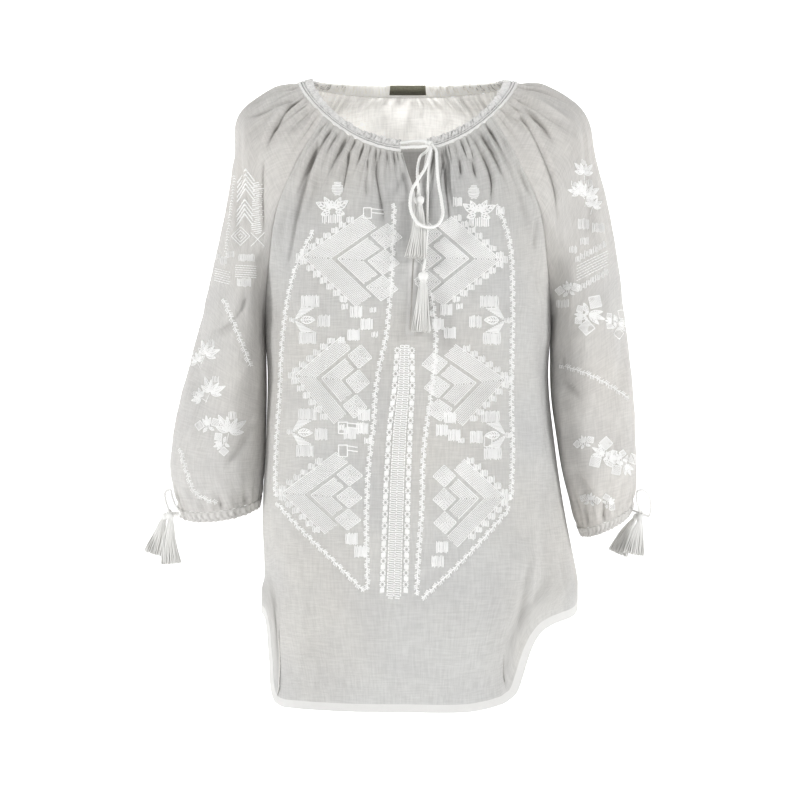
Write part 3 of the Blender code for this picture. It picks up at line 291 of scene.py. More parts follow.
CUFF_OUTLINE = table(
    Outline,
    (0.3, -0.7, 0.2), (-0.2, 0.2, 0.4), (0.4, 1.0, 0.7), (1.6, 1.4, 0.9), (2.6, 0.9, 0.8),
    (4.6, 1.4, 1.0), (6.8, 1.4, 1.0), (8.8, 1.2, 1.0), (9.6, 0.8, 0.8), (10.8, 1.3, 0.9),
    (11.8, 0.9, 0.6), (12.0, -0.2, 0.3), (11.6, -0.8, 0.3), (8.0, -1.1, 0.7), (3.0, -1.1, 0.7),
)
NECK_RUCHES = 112
CUFF_RUCHES = 40
RUCHE_DEPTH = 3.2
RINGS_PER_RUCHE = 6

# How thick the cloth is
SHELL = 0.5


def smooth(x):
    """0 below 0, 1 above 1, and a soft step between."""
    x = np.clip(x, 0, 1)
    return x * x * (3 - 2 * x)


def uneven(index, low, high):
    """A fixed value between low and high that looks random from one index to the next."""
    share = np.modf(np.abs(np.sin(np.asarray(index, float) * 12.9898 + 4.1414)) * 437.585)[0]
    return low + (high - low) * share


def through(knots, points, at):
    """A smooth curve through points, one for each knot, read at one or more places."""
    knots = np.asarray(knots, float)
    points = np.asarray(points, float)
    steps = np.diff(knots)
    shape = (-1,) + (1,) * (points.ndim - 1)
    slopes = np.diff(points, axis=0) / steps.reshape(shape)
    before = steps[:-1].reshape(shape)
    after = steps[1:].reshape(shape)
    tangents = np.empty_like(points)
    tangents[1:-1] = (slopes[:-1] * after + slopes[1:] * before) / (before + after)
    tangents[0] = slopes[0]
    tangents[-1] = slopes[-1]
    at = np.atleast_1d(np.asarray(at, float))
    i = np.clip(np.searchsorted(knots, at, side="right") - 1, 0, len(knots) - 2)
    h = steps[i].reshape(shape)
    s = ((at - knots[i]) / steps[i]).reshape(shape)
    return (
        points[i] * (1 + 2 * s) * (1 - s) ** 2
        + points[i + 1] * s * s * (3 - 2 * s)
        + tangents[i] * h * s * (1 - s) ** 2
        + tangents[i + 1] * h * s * s * (s - 1)
    )


def unit(vectors):
    """Vectors at length 1."""
    return vectors / np.maximum(np.linalg.norm(vectors, axis=-1, keepdims=True), 1e-12)


def stack(x, y, z):
    """Points from their three coordinates."""
    return np.stack(np.broadcast_arrays(x, y, z), axis=-1).astype(float)


def neck_frame(angle):
    """The neckline's top edge at angles from centre front, and its outward and slope directions there."""
    a = np.radians(angle)
    s = np.sin(a)
    c = np.cos(a)
    depth = np.where(c > 0, NECK_FRONT_DEPTH, NECK_BACK_DEPTH)
    drop = np.where(c > 0, -NECK_FRONT_DROP * np.abs(c) ** NECK_DROP_POWER, NECK_BACK_RISE * c * c)
    edge = stack(NECK_HALF_WIDTH * s, -depth * c, NECK_SHOULDER_RISE + drop)
    outward = unit(stack(s / NECK_HALF_WIDTH, -c / depth, 0 * s))
    slope = np.radians(NECK_SHOULDER_SLOPE + (NECK_CENTRE_SLOPE - NECK_SHOULDER_SLOPE) * c * c)
    return edge, outward, slope[..., None]


def neck_point(angle, down, height=0):
    """Points a way down the cloth from the neckline's top edge, and a height off it."""
    edge, outward, slope = neck_frame(angle)
    up = np.array([0.0, 0.0, 1.0])
    along = outward * np.cos(slope) - up * np.sin(slope)
    off = outward * np.sin(slope) + up * np.cos(slope)
    return edge + along * np.asarray(down)[..., None] + off * np.asarray(height)[..., None]


def mirrored(point, hand):
    """A point of the wearer's left side, or its twin on the right."""
    return np.array([point[0] * hand, point[1], point[2]], float)


def raglan_seam(front, hand, row):
    """The seam between body and sleeve, one smooth curve from the neckline to the underarm."""
    front_top = neck_point(np.float64(hand * FRONT_SEAM_ANGLE), CASING_HEIGHT + SEAM_GAP)
    back_top = neck_point(np.float64(hand * BACK_SEAM_ANGLE), CASING_HEIGHT + SEAM_GAP)
    points = [front_top]
    points += [mirrored(p, hand) for p in RAGLAN_FRONT]
    points += [mirrored(UNDERARM, hand)]
    points += [mirrored(p, hand) for p in reversed(RAGLAN_BACK)]
    points += [back_top]
    last = SEAM_ROWS[-1]
    knots = SEAM_ROWS + [2 * last - k for k in reversed(SEAM_ROWS[:-1])]
    return through(knots, points, row if front else 2 * last - row)[0]


class Panel:
    """A cloth piece as a loft. Its rows run from side -1 to side 1, numbered as in SEAM_ROWS and on."""

    def __init__(self, knots, sections, facing, edge_seams, neck_angle, tube=False):
        self.knots = np.asarray(knots, float)
        self.sections = sections
        self.facing = facing
        self.edge_seams = edge_seams
        self.neck_angle = neck_angle
        self.tube = tube
        self.neighbours = None
        middle = np.array([section(np.array([0.0]))[0] for section in sections])
        self.downs = np.concatenate([[0], np.cumsum(np.linalg.norm(np.diff(middle, axis=0), axis=1))])

    def down(self, row):
        """How far a row is from the casing, in millimetres along the middle of the piece."""
        return float(np.interp(row, self.knots, self.downs))

    def row_at(self, down):
        return float(np.interp(down, self.downs, self.knots))

    def points(self, side, row):
        """Points on a row, with its ends pulled onto the seams."""
        side = np.asarray(side, float)
        both = np.concatenate([[-1.0, 1.0], side])
        line = through(self.knots, np.array([s(both) for s in self.sections]), row)[0]
        if row < SEAM_ROWS[-1]:
            edges = np.array([seam(row) for seam in self.edge_seams])
        elif self.tube:
            edges = (line[:1] + line[1:2]) / 2
        else:
            edges = line[:2] * [1, 0, 1] + [0, UNDERARM.y, 0]
        shift = np.broadcast_to(edges - line[:2], (2, 3))
        share = np.where(side[:, None] < 0, shift[0], shift[1])
        return line[2:] + share * (np.abs(side) ** 5)[:, None]

    def normals(self, side, row):
        """Directions out of the piece along a row."""
        side = np.asarray(side, float)
        step = 2e-3
        along = self.points(np.minimum(side + step, 1), row) - self.points(np.maximum(side - step, -1), row)
        above = max(row - 1, 0)
        below = min(row + 1, self.knots[-1])
        across = self.points(side, below) - self.points(side, above)
        return unit(np.cross(across, along)) * self.facing

    def width(self, row):
        line = self.points(np.linspace(-1, 1, 41), row)
        return np.linalg.norm(np.diff(line, axis=0), axis=1).sum()

    def cloth_normals(self, side, row):
        """Normals for the cloth: the casing's at the top, and shared ones where an edge meets itself."""
        side = np.asarray(side, float)
        normal = self.normals(side, row)
        if self.tube and row >= SEAM_ROWS[-1]:
            ends = self.normals(np.array([-1.0, 1.0]), row)
            normal = np.where(np.abs(side)[:, None] > 1 - 1e-9, unit(ends[0] + ends[1]), normal)
        top = smooth(1 - self.down(row) / 12)
        angle = self.neck_angle(side)
        flat = neck_point(angle, 0 * side, 1 + 0 * side) - neck_point(angle, 0 * side)
        normal = unit(normal * (1 - top) + flat * top)
        if self.tube:
            end = smooth(1 - (self.downs[-1] - self.down(row)) / 10)
            normal = unit(normal * (1 - end) + cuff_frame(-self.facing, side)[2] * end)
        return normal

    def seam_normal(self, end, row):
        """The cloth's direction at an edge, the same for the pieces on both sides of its seam."""
        other, other_end = self.neighbours[0 if end < 0 else 1]
        own = self.cloth_normals(np.array([float(end)]), row)[0]
        theirs = other.cloth_normals(np.array([float(other_end)]), row)[0]
        return unit(own + theirs)


def yoke_section(yoke, seam):
    """A body row above the underarm, from one raglan seam to the other."""
    reach = math.radians(yoke.sweep)

    def section(side):
        turn = reach * side
        share = (1 - np.cos(turn)) / (1 - math.cos(reach))
        x = seam[0] * np.sin(turn) / math.sin(reach) + yoke.x * (1 - side * side)
        return stack(x, yoke.y + (seam[1] - yoke.y) * share, yoke.z + (seam[2] - yoke.z) * share)

    return section


def girth_points(girth, front, side, z):
    """Points on the body's oval. side goes a quarter of the way round for each unit."""
    turn = np.radians(90) * side
    depth = -girth.front if front else girth.back
    sway = girth.sway if front else 0
    x = girth.mid + girth.half * np.sin(turn) + sway * np.cos(turn)
    y = UNDERARM.y + (depth - UNDERARM.y) * np.cos(turn)
    return stack(x, y, z + 0 * side)


def hem_height(front, side):
    """The hem's height at each side value."""
    tables = (FRONT_HEM_LEFT, FRONT_HEM_RIGHT) if front else (BACK_HEM, BACK_HEM)
    heights = [through([h.side for h in t], [h.z for h in t], np.abs(side)) for t in tables]
    return np.where(side >= 0, heights[0], heights[1])


def hem_section(front, raised):
    """The hem edge, or a line that far inside it."""

    def section(side):
        arc = HEM_GIRTH.half * 1.35
        step = 0.01
        slope = (hem_height(front, side + step) - hem_height(front, side - step)) / (2 * step * arc)
        slope = slope * smooth((1 - np.abs(side)) / 0.06)
        size = np.sqrt(1 + slope * slope)
        moved = side - raised * slope / size / arc
        return girth_points(HEM_GIRTH, front, moved, hem_height(front, side) + raised / size)

    return section


def body_panel(front):
    """The front or the back, from the neck casing to the hem."""
    half = FRONT_SEAM_ANGLE if front else 180 - BACK_SEAM_ANGLE

    def neck_angle(side):
        return half * side + SLIT_ANGLE * (1 - side * side) if front else 180 - half * side

    def neck(side):
        return neck_point(neck_angle(side), np.full_like(side, CASING_HEIGHT + SEAM_GAP))

    seams = RAGLAN_FRONT if front else RAGLAN_BACK
    yokes = FRONT_YOKE if front else BACK_YOKE
    underarm = Girth(-279, 0, 168.3, 126, 103, 3)
    sections = [neck] + [yoke_section(yoke, seam) for yoke, seam in zip(yokes, seams)]
    knots = list(SEAM_ROWS)
    for girth in [underarm] + GIRTHS:
        sections.append(lambda side, girth=girth: girth_points(girth, front, side, girth.z))
    knots += [SEAM_ROWS[-1] + underarm.z - girth.z for girth in GIRTHS]
    hem_row = SEAM_ROWS[-1] + 375
    for raised in (TURN_UP, 0.0):
        sections.append(hem_section(front, raised))
        knots.append(hem_row - raised)
    edges = [lambda row, hand=hand: raglan_seam(front, hand, row) for hand in (-1, 1)]
    return Panel(knots, sections, 1 if front else -1, edges, neck_angle)


def cap_section(cap, hand, front_seam, back_seam):
    """A sleeve row above the underarm: an arc from back raglan seam over the shoulder to front seam."""
    top = np.array([cap.x * hand, cap.y, cap.z], float)
    reach = math.radians(cap.sweep)
    middle = (front_seam + back_seam) / 2 - top
    forward = np.array([0.0, -cap.depth, 0.0])
    rest = (front_seam - back_seam) / 2 - forward * math.sin(reach)

    def section(side):
        turn = reach * side
        share = (1 - np.cos(turn)) / (1 - math.cos(reach))
        return top + middle * share[:, None] + forward * np.sin(turn)[:, None] + rest * side[:, None]

    return section


def ring_section(ring, hand):
    """A closed sleeve row. Side 0 is the overarm line, and sides -1 and 1 are both the underarm line."""

    def section(side):
        turn = math.pi * side
        share = (1 - np.cos(turn)) / 2
        x = ring.outer_x + (ring.inner_x - ring.outer_x) * share
        y = UNDERARM.y - ring.depth * np.sin(turn)
        z = ring.outer_z + (ring.inner_z - ring.outer_z) * share - ring.droop * np.sin(turn)
        return stack(x * hand, y, z)

    return section


def sleeve_panel(hand):
    """hand is 1 for the wearer's left sleeve and -1 for the right one. Side 1 is the front seam."""
    caps = LEFT_CAP if hand > 0 else RIGHT_CAP
    rings = LEFT_RINGS if hand > 0 else RIGHT_RINGS
    middle = (FRONT_SEAM_ANGLE + BACK_SEAM_ANGLE) / 2
    half = (BACK_SEAM_ANGLE - FRONT_SEAM_ANGLE) / 2

    def neck_angle(side):
        return hand * (middle - half * side)

    def neck(side):
        return neck_point(neck_angle(side), np.full_like(side, CASING_HEIGHT + SEAM_GAP))

    sections = [neck]
    for cap, front_seam, back_seam in zip(caps, RAGLAN_FRONT, RAGLAN_BACK):
        sections.append(cap_section(cap, hand, mirrored(front_seam, hand), mirrored(back_seam, hand)))
    sections += [ring_section(ring, hand) for ring in rings]
    knots = list(SEAM_ROWS)
    for first, second in zip(rings, rings[1:]):
        outer = math.dist((first.outer_x, first.outer_z), (second.outer_x, second.outer_z))
        inner = math.dist((first.inner_x, first.inner_z), (second.inner_x, second.inner_z))
        knots.append(knots[-1] + (outer + inner) / 2)
    edges = [lambda row, front=front: raglan_seam(front, hand, row) for front in (False, True)]
    return Panel(knots, sections, -hand, edges, neck_angle, tube=True)


def cuff_frame(hand, side):
    """Where the cuff casing's top and bottom edges are, and the direction out of its cloth."""
    ring = (LEFT_RINGS if hand > 0 else RIGHT_RINGS)[-1]
    cuff = LEFT_CUFF if hand > 0 else RIGHT_CUFF
    side = np.asarray(side, float)
    step = 1e-3
    top = ring_section(ring, hand)(side)
    bottom = ring_section(cuff, hand)(side)
    along = ring_section(ring, hand)(side + step) - ring_section(ring, hand)(side - step)
    along = along + ring_section(cuff, hand)(side + step) - ring_section(cuff, hand)(side - step)
    return top, bottom, unit(np.cross(bottom - top, along)) * -hand


def cuff_point(hand, side, down, height):
    """Points on a cuff's casing, down from its top edge and off the middle of its cloth."""
    top, bottom, out = cuff_frame(hand, side)
    share = (np.asarray(down, float) + SEAM_GAP) / (CUFF_HEIGHT + SEAM_GAP)
    return top + (bottom - top) * share[..., None] + out * np.asarray(height, float)[..., None]


def gather_relief(gather, place, down):
    """Uneven pinched ridges that leave a casing, each with its own place, width, height, length and lean."""
    index = np.arange(gather.count) + gather.seed * 10
    centre = (np.arange(gather.count) + uneven(index, 0.15, 0.85)) / gather.count
    lasts = uneven(index + 3, gather.shortest, gather.longest)
    height = gather.height * uneven(index + 7, 0.45, 1.0)
    lean = uneven(index + 9, -0.5, 0.5) / gather.count
    half = uneven(index + 5, 0.5, 0.8) / gather.count
    away = (place[:, None] - centre - lean * smooth(down / lasts)) / (half * (1 + 0.9 * smooth(down / 90)))
    ridge = np.clip(1 - away * away, 0, 1) ** 0.8 - 0.38
    ridge = np.where(np.abs(away) < 1.4, ridge, -0.38 * np.clip(2.4 - np.abs(away), 0, 1))
    rise = 0.4 + 0.6 * smooth(down / 10)
    return (ridge * height * rise * (1 - smooth(down / lasts))).sum(axis=1)


def tuck_relief(tuck, place, down, width):
    """Narrow uneven valleys that leave a casing and widen as they die away."""
    index = np.arange(tuck.count) + tuck.seed * 10
    centre = (np.arange(tuck.count) + uneven(index, 0.05, 0.95)) / tuck.count
    lasts = tuck.shortest + (tuck.longest - tuck.shortest) * uneven(index + 3, 0.0, 1.0) ** 2
    depth = tuck.height * uneven(index + 7, 0.35, 1.0)
    lean = uneven(index + 9, -0.45, 0.45) / tuck.count
    half = TUCK_WIDTH * uneven(index + 5, 0.8, 1.5) + TUCK_SPREAD * down
    off = (place[:, None] - centre - lean * smooth(down / lasts)) * width / half
    valley = 1 / (1 + off * off) ** 1.5
    return -(valley * depth * smooth((down + 2) / 5) * (1 - smooth(down / lasts))).sum(axis=1)


def fold_relief(folds, side, down, width):
    """Soft ridges and troughs along straight lines on a panel."""
    total = np.zeros(np.shape(side))
    for fold in folds:
        along = (down - fold.down0) / (fold.down1 - fold.down0)
        line = fold.side0 + (fold.side1 - fold.side0) * along
        off = (side - line) * width / 2 / fold.width
        total += fold.height * np.exp(-off * off) * smooth(along / 0.3) * smooth((1 - along) / 0.3)
    return total * smooth((1 - np.abs(side)) / 0.08)


def crease_relief(creases, x, z):
    """Creases along lines in the front view, with a sharp crest and ends that die away."""
    total = np.zeros(np.shape(x))
    for crease in creases:
        line = np.array(crease.line, float)
        ways = np.concatenate([[0], np.cumsum(np.linalg.norm(np.diff(line, axis=0), axis=1))])
        fine = through(ways, line, np.linspace(0, ways[-1], 12))
        nearest = np.full(np.shape(x), 1e9)
        share = np.zeros(np.shape(x))
        for k, (a, b) in enumerate(zip(fine, fine[1:])):
            step = b - a
            t = np.clip(((x - a[0]) * step[0] + (z - a[1]) * step[1]) / (step @ step), 0, 1)
            reach = np.hypot(x - a[0] - t * step[0], z - a[1] - t * step[1])
            share = np.where(reach < nearest, (k + t) / (len(fine) - 1), share)
            nearest = np.minimum(nearest, reach)
        near = 1 / (1 + (nearest / crease.width) ** 2) ** 1.5
        total += crease.height * near * smooth(share / 0.2) * smooth((1 - share) / 0.3)
    return total


def ripple(x, z, seed):
    """Shallow uneven ripples, as thin washed cotton has everywhere."""
    total = np.zeros(np.shape(x))
    for k in range(7):
        wave = uneven(seed + k, 34, 95)
        turn = uneven(seed + k + 20, -0.55, 0.55)
        start = uneven(seed + k + 40, 0, 6.28)
        across = x * math.cos(turn) + z * math.sin(turn) * 0.6
        total += np.sin(across * 2 * math.pi / wave + start + 0.9 * np.sin(z / 70 + start * 2))
    for k in range(6):
        wave = uneven(seed + k + 60, 13, 30)
        turn = uneven(seed + k + 80, -1.2, 1.2)
        across = x * math.cos(turn) + z * math.sin(turn)
        bend = 2.2 * np.sin(z / 31 + k) + 1.7 * np.sin(x / 23 - k)
        total += 0.3 * np.sin(across * 2 * math.pi / wave + bend)
    return total * 0.3


def slit_half_gap(down):
    """Half the width of the front slit, which is an open V at the top."""
    return SLIT_HALF_GAP + (SLIT_V_HALF_WIDTH - SLIT_HALF_GAP) * max(0, 1 - down / SLIT_V_LENGTH)


class Cloth:
    """A piece of cloth as a grid of points with their normals, cloth coordinates and number of layers."""

    def __init__(self, panel, rows, columns, gather, tucks, folds, creases, seed, slit=None, cuff=None):
        self.panel = panel
        self.rows = rows
        self.slit = slit
        points = []
        normals = []
        coordinates = []
        sides = []
        downs = []
        for row in rows:
            down = panel.down(row)
            width = panel.width(row)
            if slit is None:
                side = np.linspace(-1, 1, columns)
                place = (side + 1) / 2
            else:
                gap = slit_half_gap(down) / (width / 2) if row < slit else 0.0
                half = columns // 2
                side = np.concatenate([np.linspace(-1, -gap, half), np.linspace(gap, 1, half)])
                place = np.concatenate([np.linspace(0, 0.5, half), np.linspace(0.5, 1, half)])
            base = panel.points(side, row)
            normal = panel.cloth_normals(side, row)
            closed = panel.tube and row >= SEAM_ROWS[-1]
            if row <= SEAM_ROWS[-1] and not closed:
                normal[0] = panel.seam_normal(-1, row)
                normal[-1] = panel.seam_normal(1, row)
            edges = smooth((1 - np.abs(side)) / 0.06)
            height = gather_relief(gather, place, down) * edges
            height += tuck_relief(tucks, place, down, width) * edges
            if row <= SEAM_ROWS[-1] and not closed:
                height -= 1.0 * smooth(1 - (1 - np.abs(side)) * width / 2 / 2.2)
            height += fold_relief(folds, side, down, width)
            x, y, z = base.T
            flow = smooth(down / 14) * edges
            height += crease_relief(creases, x, z) * smooth((8 - y) / 14) * flow
            height += crease_relief(BACK_CREASES, x, z) * smooth((y - 4) / 20) * flow
            calm = smooth(down / 30) * smooth((1 - np.abs(side)) / 0.2)
            height += ripple(side * width / 2, z, seed) * calm
            if cuff:
                rest = panel.downs[-1] - down
                place = (side + 1) / 2
                inside = smooth((1 - np.abs(side)) / 0.03 + 0.2)
                height += gather_relief(cuff[0], place, rest) * inside
                height += tuck_relief(cuff[1], place, rest, width) * inside
                height = height * (0.25 + 0.75 * smooth(rest / 6))
            if closed:
                height[0] = height[-1] = (height[0] + height[-1]) / 2
            points.append(base + normal * height[:, None])
            normals.append(normal)
            coordinates.append(np.stack([side * width / 2, np.full(len(side), -down)], axis=1))
            sides.append(side)
            downs.append(down)
        self.points = np.array(points)
        self.normals = np.array(normals)
        self.coordinates = np.array(coordinates)
        self.sides = np.array(sides)
        self.downs = np.array(downs)
        self.layers = np.zeros(self.sides.shape)


def link(name, mesh, material):
    """A new object of the scene from a mesh."""
    made = bpy.data.objects.new(name, mesh)
    bpy.context.scene.collection.objects.link(made)
    mesh.materials.append(material)
    return made


def cloth_object(name, cloth, material, inside):
    """A thin closed shell on a grid of cloth, with its cloth coordinates and layers."""
    rows, columns = cloth.sides.shape
    number = np.arange(rows * columns).reshape(rows, columns)
    half = columns // 2
    keep = np.ones(columns - 1, bool)
    if cloth.slit is not None:
        closed = np.array(cloth.rows) >= cloth.slit - 1e-6
        number[closed, half] = number[closed, half - 1]
        keep[half - 1] = False
    if cloth.panel.tube:
        closed = np.array(cloth.rows) >= SEAM_ROWS[-1]
        number[closed, -1] = number[closed, 0]
    r, c = np.meshgrid(np.arange(rows - 1), np.arange(columns - 1)[keep], indexing="ij")
    grid = np.arange(rows * columns).reshape(rows, columns)
    around = [grid[r, c], grid[r + 1, c], grid[r + 1, c + 1], grid[r, c + 1]]
    corners = np.stack(around, axis=-1).reshape(-1, 4)
    if cloth.panel.facing < 0:
        corners = corners[:, ::-1]
    flat = number.reshape(-1)
    faces = flat[corners]
    used, compact = np.unique(faces, return_inverse=True)
    faces = compact.reshape(faces.shape)
    points = cloth.points.reshape(-1, 3)[used]
    normals = cloth.normals.reshape(-1, 3)[used]
    layers = cloth.layers.reshape(-1)[used]
    outer = points + normals * SHELL / 2
    inner = points - normals * SHELL / 2
    count = len(used)
    starts = faces.reshape(-1)
    ends = np.roll(faces, -1, axis=1).reshape(-1)
    forward = starts.astype(np.int64) * count + ends
    backward = ends.astype(np.int64) * count + starts
    edge = ~np.isin(forward, backward)
    rim = np.stack([ends[edge], starts[edge], starts[edge] + count, ends[edge] + count], axis=1)
    every = np.concatenate([faces, faces[:, ::-1] + count, rim])
    mesh = bpy.data.meshes.new(name)
    mesh.from_pydata((np.concatenate([outer, inner]) * MM).tolist(), [], every.tolist())
    place = cloth.coordinates.reshape(-1, 2)
    around = np.roll(corners, -1, axis=1).reshape(-1)[edge]
    rim_corners = np.stack([around, corners.reshape(-1)[edge], corners.reshape(-1)[edge], around], axis=1)
    spots = place[np.concatenate([corners, corners[:, ::-1], rim_corners])].reshape(-1, 2) * MM * 10
    uv = mesh.uv_layers.new(name="cloth")
    uv.data.foreach_set("uv", spots.reshape(-1).astype(np.float32))
    attribute = mesh.attributes.new("layers", "FLOAT", "POINT")
    attribute.data.foreach_set("value", np.concatenate([layers, layers]).astype(np.float32))
    mesh.shade_smooth()
    sharp = mesh.attributes.new("sharp_edge", "BOOLEAN", "EDGE")
    pairs = np.zeros(len(mesh.edges) * 2, np.int64)
    mesh.edges.foreach_get("vertices", pairs)
    pairs = pairs.reshape(-1, 2)
    rims = set(starts[edge].tolist()) | set(ends[edge].tolist())
    on_rim = np.zeros(2 * count, bool)
    on_rim[list(rims)] = True
    on_rim[np.array(list(rims)) + count] = True
    same_side = (pairs[:, 0] < count) == (pairs[:, 1] < count)
    sharp.data.foreach_set("value", on_rim[pairs[:, 0]] & on_rim[pairs[:, 1]] & same_side)
    made = link(name, mesh, material)
    # The inner faces take the inside cotton, which is painted lighter than the outside
    mesh.materials.append(inside)
    sides = np.zeros(len(every), np.int32)
    sides[len(faces) : 2 * len(faces)] = 1
    mesh.polygons.foreach_set("material_index", sides)
    mesh.validate()
    return made


def lofted(name, rings, material, closed, along=None, around=None, layers=0.0):
    """A solid from a chain of closed outlines, joined round or capped at both ends."""
    rings = np.array(rings, float)
    count, size = rings.shape[:2]
    along = np.arange(count + 1) if along is None else np.append(along, 2 * along[-1] - along[-2])
    around = np.arange(size + 1) if around is None else np.append(around, 2 * around[-1] - around[-2])
    k, j = np.meshgrid(np.arange(count if closed else count - 1), np.arange(size), indexing="ij")
    number = np.arange(count * size).reshape(count, size)
    ks = [k, k, k + 1, k + 1]
    js = [j, j + 1, j + 1, j]
    faces = np.stack([number[a % count, b % size] for a, b in zip(ks, js)], axis=-1).reshape(-1, 4)
    spots = [np.stack([along[a], around[b]], axis=-1) for a, b in zip(ks, js)]
    spots = np.stack(spots, axis=2).reshape(-1, 4, 2)
    points = rings.reshape(-1, 3)
    a, b, c, d = (points[faces[:, n]] for n in range(4))
    volume = (a * np.cross(b, c)).sum() + (a * np.cross(c, d)).sum()
    caps = [] if closed else [number[0][::-1].tolist(), number[-1].tolist()]
    if volume < 0:
        faces = faces[:, ::-1]
        spots = spots[:, ::-1]
        caps = [cap[::-1] for cap in caps]
    mesh = bpy.data.meshes.new(name)
    mesh.from_pydata((points * MM).tolist(), [], faces.tolist() + caps)
    uv = mesh.uv_layers.new(name="cloth")
    flat = np.concatenate([spots.reshape(-1, 2) * MM * 10, np.zeros((sum(len(cap) for cap in caps), 2))])
    uv.data.foreach_set("uv", flat.reshape(-1).astype(np.float32))
    attribute = mesh.attributes.new("layers", "FLOAT", "POINT")
    attribute.data.foreach_set("value", np.full(len(points), layers, np.float32))
    mesh.shade_smooth()
    return link(name, mesh, material)


def ruched(phase, outline, shift):
    """How far the cloth of a casing stands out at each point of its outline, in rounded uneven ruches."""
    down = np.array([o.down for o in outline])
    depth = np.array([o.ruche for o in outline]) * RUCHE_DEPTH
    at = phase + 0.33 * np.sin(down * 0.42 + shift) + 0.12 * np.sin(down * 1.3 + shift * 3)
    index = np.floor(at)
    within = at - index
    tall = uneven(index, 0.5, 1.0)
    return depth * (tall * np.sin(math.pi * within) ** 1.3 - 0.5)


def neck_casing(material, inside):
    """The ruched band round the neckline, with two rolls of cloth along its lower edge."""
    start, stop = CASING_ENDS
    count = NECK_RUCHES * RINGS_PER_RUCHE
    down = np.array([o.down for o in NECK_OUTLINE])
    height = np.array([o.height for o in NECK_OUTLINE])
    rings = []
    for k in range(count + 1):
        angle = start + (stop - start) * k / count
        out = ruched(k / RINGS_PER_RUCHE, NECK_OUTLINE, angle * 0.9)
        rings.append(neck_point(np.full(len(down), angle), down - 0.6 * out * (down < 2), height + out))
    along = np.arange(count + 1) * 575 / count
    around = np.concatenate([[0], np.cumsum(np.hypot(np.diff(down), np.diff(height)))])
    band = lofted("neck_band", rings, material, False, along, around, layers=0.6)
    # The band's inner faces at the back take the inside cotton, painted lighter as if lit
    band.data.materials.append(inside)
    for face in band.data.polygons:
        if face.center.y > 0.02 and face.normal.x * face.center.x + face.normal.y * face.center.y < 0:
            face.material_index = 1
    return band


def cuff_casing(hand, name, material):
    """The ruched band round a sleeve's end."""
    count = CUFF_RUCHES * RINGS_PER_RUCHE
    down = np.array([o.down for o in CUFF_OUTLINE])
    height = np.array([o.height for o in CUFF_OUTLINE])
    rings = []
    for k in range(count):
        side = 2 * k / count
        out = ruched(k / RINGS_PER_RUCHE, CUFF_OUTLINE, 0.0)
        low = np.where(down > 11, 0.5 * out, 0)
        rings.append(cuff_point(hand, np.full(len(down), side), down + low, height + out))
    along = np.arange(count) * 190 / count
    around = np.concatenate([[0], np.cumsum(np.hypot(np.diff(down), np.diff(height)))])
    return lofted(name, rings, material, True, along, around, layers=0.6)


# Ties. Their lines are given as x, z, and the height off the cloth in front of the body.
Lying = namedtuple("Lying", "x z off")
CORD = 4.0
CUFF_CORD = 3.0
NECK_KNOT = Lying(25.5, -82, 9.3)
NECK_KNOT_SIZE = 11.0
STRAND_UPPER = table(Lying, (5, -76.5, 4), (13, -76.5, 6.5))
STRAND_LOWER = table(Lying, (5, -83.4, 4), (13, -83.6, 6.5))
NECK_LOOP = table(
    Lying,
    (23.5, -97, 13.5), (19.5, -109, 15.5), (12, -122, 18), (5, -134, 18), (2.0, -148, 18),
    (4, -163, 18.5), (11, -174, 19.5), (22, -179, 19.5), (33, -176, 17), (38.5, -166, 15),
    (38, -150, 12), (35, -131, 10.5), (33, -110, 10.5), (32.5, -97, 11),
)
SHORT_END = table(Lying, (14, -95, 7.5), (11, -106, 6), (10.5, -123, 6.5), (12.5, -142, 9))
SHORT_TASSEL = table(Lying, (12.0, -178, 10.5), (8.5, -214, 10.5))
LONG_END = table(
    Lying,
    (25.5, -98, 5.2), (23.8, -108, 4.4), (22.6, -128, 3.8), (21.6, -155, 3.6),
    (21.2, -180, 3.2), (19.8, -205, 3.0), (17, -229, 5.5),
)
LONG_TASSEL = table(Lying, (16.0, -262, 8.5), (14.4, -298, 8.5))

# Which way each cord leaves the neck knot
NECK_LEAVES = {
    "upper": Point(-0.8, 0.1, 0.6),
    "lower": Point(-0.98, 0.1, -0.15),
    "short": Point(-0.55, 0.1, -0.83),
    "long": Point(0.1, 0.4, -0.9),
    "loop_start": Point(0.0, -0.75, -0.66),
    "loop_end": Point(0.75, -0.3, -0.6),
}

# The cuffs' ties, in x, y and z. root is where on the casing the cord comes out, as a side of the sleeve.
CuffTie = namedtuple("CuffTie", "name hand root knot loop outer inner")
CUFF_KNOT_SIZE = 8.5
CUFF_TIES = [
    CuffTie(
        name="right",
        hand=-1,
        root=0.12,
        knot=Point(-280, -17, -506),
        loop=table(
            Point,
            (-284.5, -20, -491), (-284, -21, -481.5), (-279.5, -21.5, -479), (-276, -24, -488),
            (-270.5, -29, -500), (-266.5, -29, -506), (-269, -24, -509.5),
        ),
        outer=table(Point, (-286, -12.5, -512.5), (-292, -10, -532), (-299.5, -7, -556)),
        inner=table(Point, (-278, -24.5, -512), (-279, -30, -538), (-276.5, -33, -566)),
    ),
    CuffTie(
        name="left",
        hand=1,
        root=0.12,
        knot=Point(273, -16, -507),
        loop=table(
            Point,
            (268, -26, -492), (269, -27, -480.5), (278, -25, -480.5),
            (284, -23, -492), (284.5, -20, -505), (282.5, -18, -510.5),
        ),
        outer=table(Point, (272, -23.5, -513.5), (267.5, -29, -532), (263.5, -32, -555)),
        inner=table(Point, (267, -11, -513.5), (256, -11, -532), (246, -13, -555)),
    ),
]

